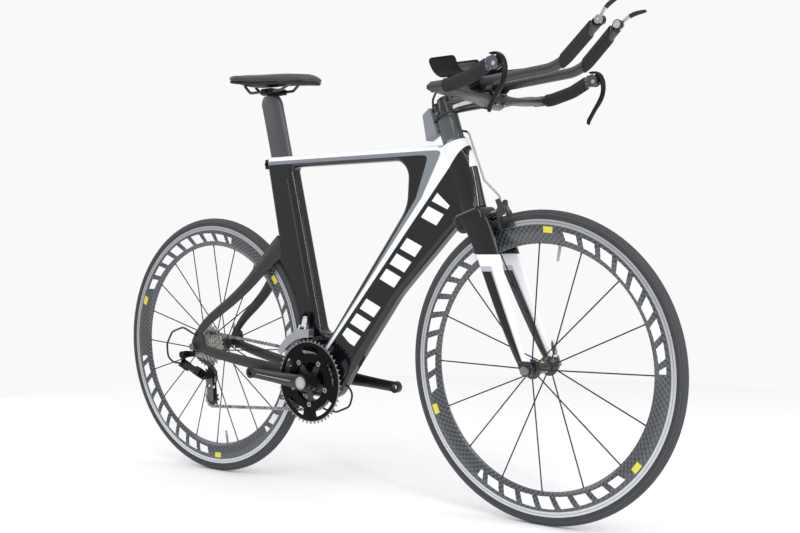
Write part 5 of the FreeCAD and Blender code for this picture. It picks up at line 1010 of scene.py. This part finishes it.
class BIKE_OT_saddle_cover(bpy.types.Operator):
    """Make the saddle's padded cover"""

    bl_idname = "bike.saddle_cover"
    bl_label = "Saddle cover"

    def execute(self, context):
        swell_limit = context.scene.bike_hardware.pad_swell
        pad = swollen("saddle_cover", solid_copy("saddle_pad", "saddle_cover"), 0.004, 3.0, swell_limit)
        cover(pad.data, cover_skin("saddle_skin", shade(50, 50, 53), 0.46))
        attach(pad, "saddle")
        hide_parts("saddle_pad")
        return {"FINISHED"}


class BIKE_OT_arm_pads(bpy.types.Operator):
    """Make the arm rests' foam pads"""

    bl_idname = "bike.arm_pads"
    bl_label = "Arm pads"

    def execute(self, context):
        pad = swollen("arm_pads", solid_copy("armrest_pads", "arm_pads"), 0.003, 4.0, 0.0015)
        cover(pad.data, cover_skin("arm_pad_cloth", shade(26, 26, 27), 0.8, 1500))
        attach(pad, "steering")
        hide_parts("armrest_pads")
        return {"FINISHED"}


class BIKE_OT_wheel_hardware(bpy.types.Operator):
    """Make the spoke nipples and valves"""

    bl_idname = "bike.wheel_hardware"
    bl_label = "Nipples and valves"

    def execute(self, context):
        sizes = context.scene.bike_hardware
        tree = nipple_tree(alloy("nipple_black", shade(36, 37, 39), 0.3, metallic=0.8))
        valve_metal = alloy("valve_alloy", shade(170, 172, 176), 0.25)
        length = sizes.valve_length
        profile = ((0.0048, 0), (0.0048, 0.003), (0.0031, 0.0034), (0.0031, length * 0.72),
                   (0.0024, length * 0.75), (0.0024, length * 0.86), (0.0029, length * 0.88),
                   (0.0029, length * 0.96), (0.0012, length))
        circle = RIM_INNER_EDGE - sizes.nipple_length / 2 + NIPPLE_SEAT
        for end, centre in WHEELS:
            count, valve_angle = SPOKES_AND_VALVE[end]
            mesh = tree.mesh(end + "_nipples",
                             {"Count": count, "Circle": circle, "Length": sizes.nipple_length,
                              "Radius": sizes.nipple_radius, "Axle": tuple(centre)})
            new_piece(end + "_nipples", mesh, end + "_wheel", tree.material)
            turn = math.radians(valve_angle)
            inward = Vector((-math.cos(turn), 0, -math.sin(turn)))
            valve = turned(end + "_valve", profile, centre - inward * VALVE_FOOT, inward)
            new_piece(end + "_valve", valve, end + "_wheel", valve_metal)
        return {"FINISHED"}


class BIKE_OT_chain_rivets(bpy.types.Operator):
    """Make the chain's rivet heads"""

    bl_idname = "bike.chain_rivets"
    bl_label = "Chain rivets"

    def execute(self, context):
        points = bpy.data.meshes.new("chain_pins")
        points.from_pydata([tuple(place) for place in chain_pin_places()], [], [])
        tree = rivet_tree(alloy("rivet_steel", shade(120, 121, 124), 0.25))
        radius = context.scene.bike_hardware.rivet_radius
        mesh = tree.mesh("chain_rivets", {"Radius": radius, "Reach": RIVET_REACH}, points)
        new_piece("chain_rivets", mesh, "frame", tree.material)
        return {"FINISHED"}


class BIKE_OT_studio(bpy.types.Operator):
    """Set the camera, the floor and soft light"""

    bl_idname = "bike.studio"
    bl_label = "Studio"

    def execute(self, context):
        scene = context.scene
        scene.view_settings.view_transform = "Standard"
        self.camera(scene)
        self.floor()
        self.lights()
        scene.world = self.air()
        return {"FINISHED"}

    def camera(self, scene):
        """The camera that was fitted to the wheels' outlines."""
        level = math.cos(CAMERA_LIFT)
        back = Vector((math.sin(CAMERA_TURN) * level, -math.cos(CAMERA_TURN) * level, math.sin(CAMERA_LIFT)))
        right = Vector((0, 0, 1)).cross(back).normalized()
        up = back.cross(right)
        tilted_right = right * math.cos(CAMERA_ROLL) + up * math.sin(CAMERA_ROLL)
        tilted_up = up * math.cos(CAMERA_ROLL) - right * math.sin(CAMERA_ROLL)
        lens = bpy.data.cameras.new("photo_camera")
        lens.sensor_width = SENSOR_MM
        lens.lens = FOCAL_PIXELS * SENSOR_MM / PICTURE_PIXELS
        lens.clip_end = 60
        camera = linked("photo_camera", lens)
        turn = Matrix((tilted_right, tilted_up, back)).transposed().to_4x4()
        camera.matrix_world = Matrix.Translation(CAMERA_PLACE) @ turn
        scene.camera = camera

    def floor(self):
        """A pale round floor."""
        mesh = bpy.data.meshes.new("studio_floor")
        angles = [2 * math.pi * step / FLOOR_SIDES for step in range(FLOOR_SIDES)]
        edge = [(FLOOR_RADIUS * math.cos(a), FLOOR_RADIUS * math.sin(a), 0) for a in angles]
        mesh.from_pydata(edge, [], [tuple(range(FLOOR_SIDES))])
        floor = linked("studio_floor", mesh)
        finish = Finish("floor_pale", roughness=0.9, specular=0.1)
        cloud = finish.noise(0.6, 2)
        tone = finish.mix(cloud, shade(240, 241, 243), shade(246, 246, 247))
        mesh.materials.append(finish.set(colour=tone))

    def lights(self):
        """Soft boxes round the bike, all turned to its middle."""
        for name, place, width, height, power in SOFTBOXES:
            lamp = bpy.data.lights.new(name + "_softbox", "AREA")
            lamp.shape = "RECTANGLE"
            lamp.size = width
            lamp.size_y = height
            lamp.energy = power
            holder = linked(name + "_softbox", lamp)
            holder.location = place
            holder.rotation_mode = "QUATERNION"
            aim = Vector(LIGHT_TARGET) - Vector(place)
            holder.rotation_quaternion = aim.to_track_quat("-Z", "Y")

    def air(self):
        """White surroundings, brighter for the camera and dimmer in reflections."""
        world = bpy.data.worlds.new("studio_air")
        world.use_nodes = True
        nodes = world.node_tree.nodes
        links = world.node_tree.links
        path = nodes.new("ShaderNodeLightPath")
        level = nodes.new("ShaderNodeValue").outputs[0]
        level.default_value = AIR_LEVEL
        for ray, change in AIR_CHANGES:
            step = nodes.new("ShaderNodeMath")
            step.operation = "MULTIPLY_ADD"
            links.new(path.outputs[ray], step.inputs[0])
            step.inputs[1].default_value = change
            links.new(level, step.inputs[2])
            level = step.outputs[0]
        background = nodes["Background"]
        background.inputs[0].default_value = (1, 1, 1, 1)
        links.new(level, background.inputs[1])
        return world


class BIKE_PT_build(bpy.types.Panel):
    """Steps and settings of the bike"""

    bl_label = "Time trial bike"
    bl_idname = "BIKE_PT_build"
    bl_space_type = "VIEW_3D"
    bl_region_type = "UI"
    bl_category = "Bike"

    def draw(self, context):
        for step in STEPS:
            self.layout.operator(step.bl_idname)
        for group in (context.scene.bike_paint, context.scene.bike_hardware):
            box = self.layout.box()
            for key in group.__annotations__:
                box.prop(group, key)


STEPS = (BIKE_OT_studio, BIKE_OT_paint_frame, BIKE_OT_paint_wheels, BIKE_OT_paint_drive,
         BIKE_OT_saddle_cover, BIKE_OT_arm_pads, BIKE_OT_wheel_hardware, BIKE_OT_chain_rivets)
CLASSES = (BikePaint, BikeHardware, *STEPS, BIKE_PT_build)


def register():
    for item in CLASSES:
        bpy.utils.register_class(item)
    bpy.types.Scene.bike_paint = bpy.props.PointerProperty(type=BikePaint)
    bpy.types.Scene.bike_hardware = bpy.props.PointerProperty(type=BikeHardware)


def unregister():
    del bpy.types.Scene.bike_hardware
    del bpy.types.Scene.bike_paint
    for item in reversed(CLASSES):
        bpy.utils.unregister_class(item)


def main():
    register()
    for step in STEPS:
        group, name = step.bl_idname.split(".")
        getattr(getattr(bpy.ops, group), name)()


if __name__ == "__main__":
    main()
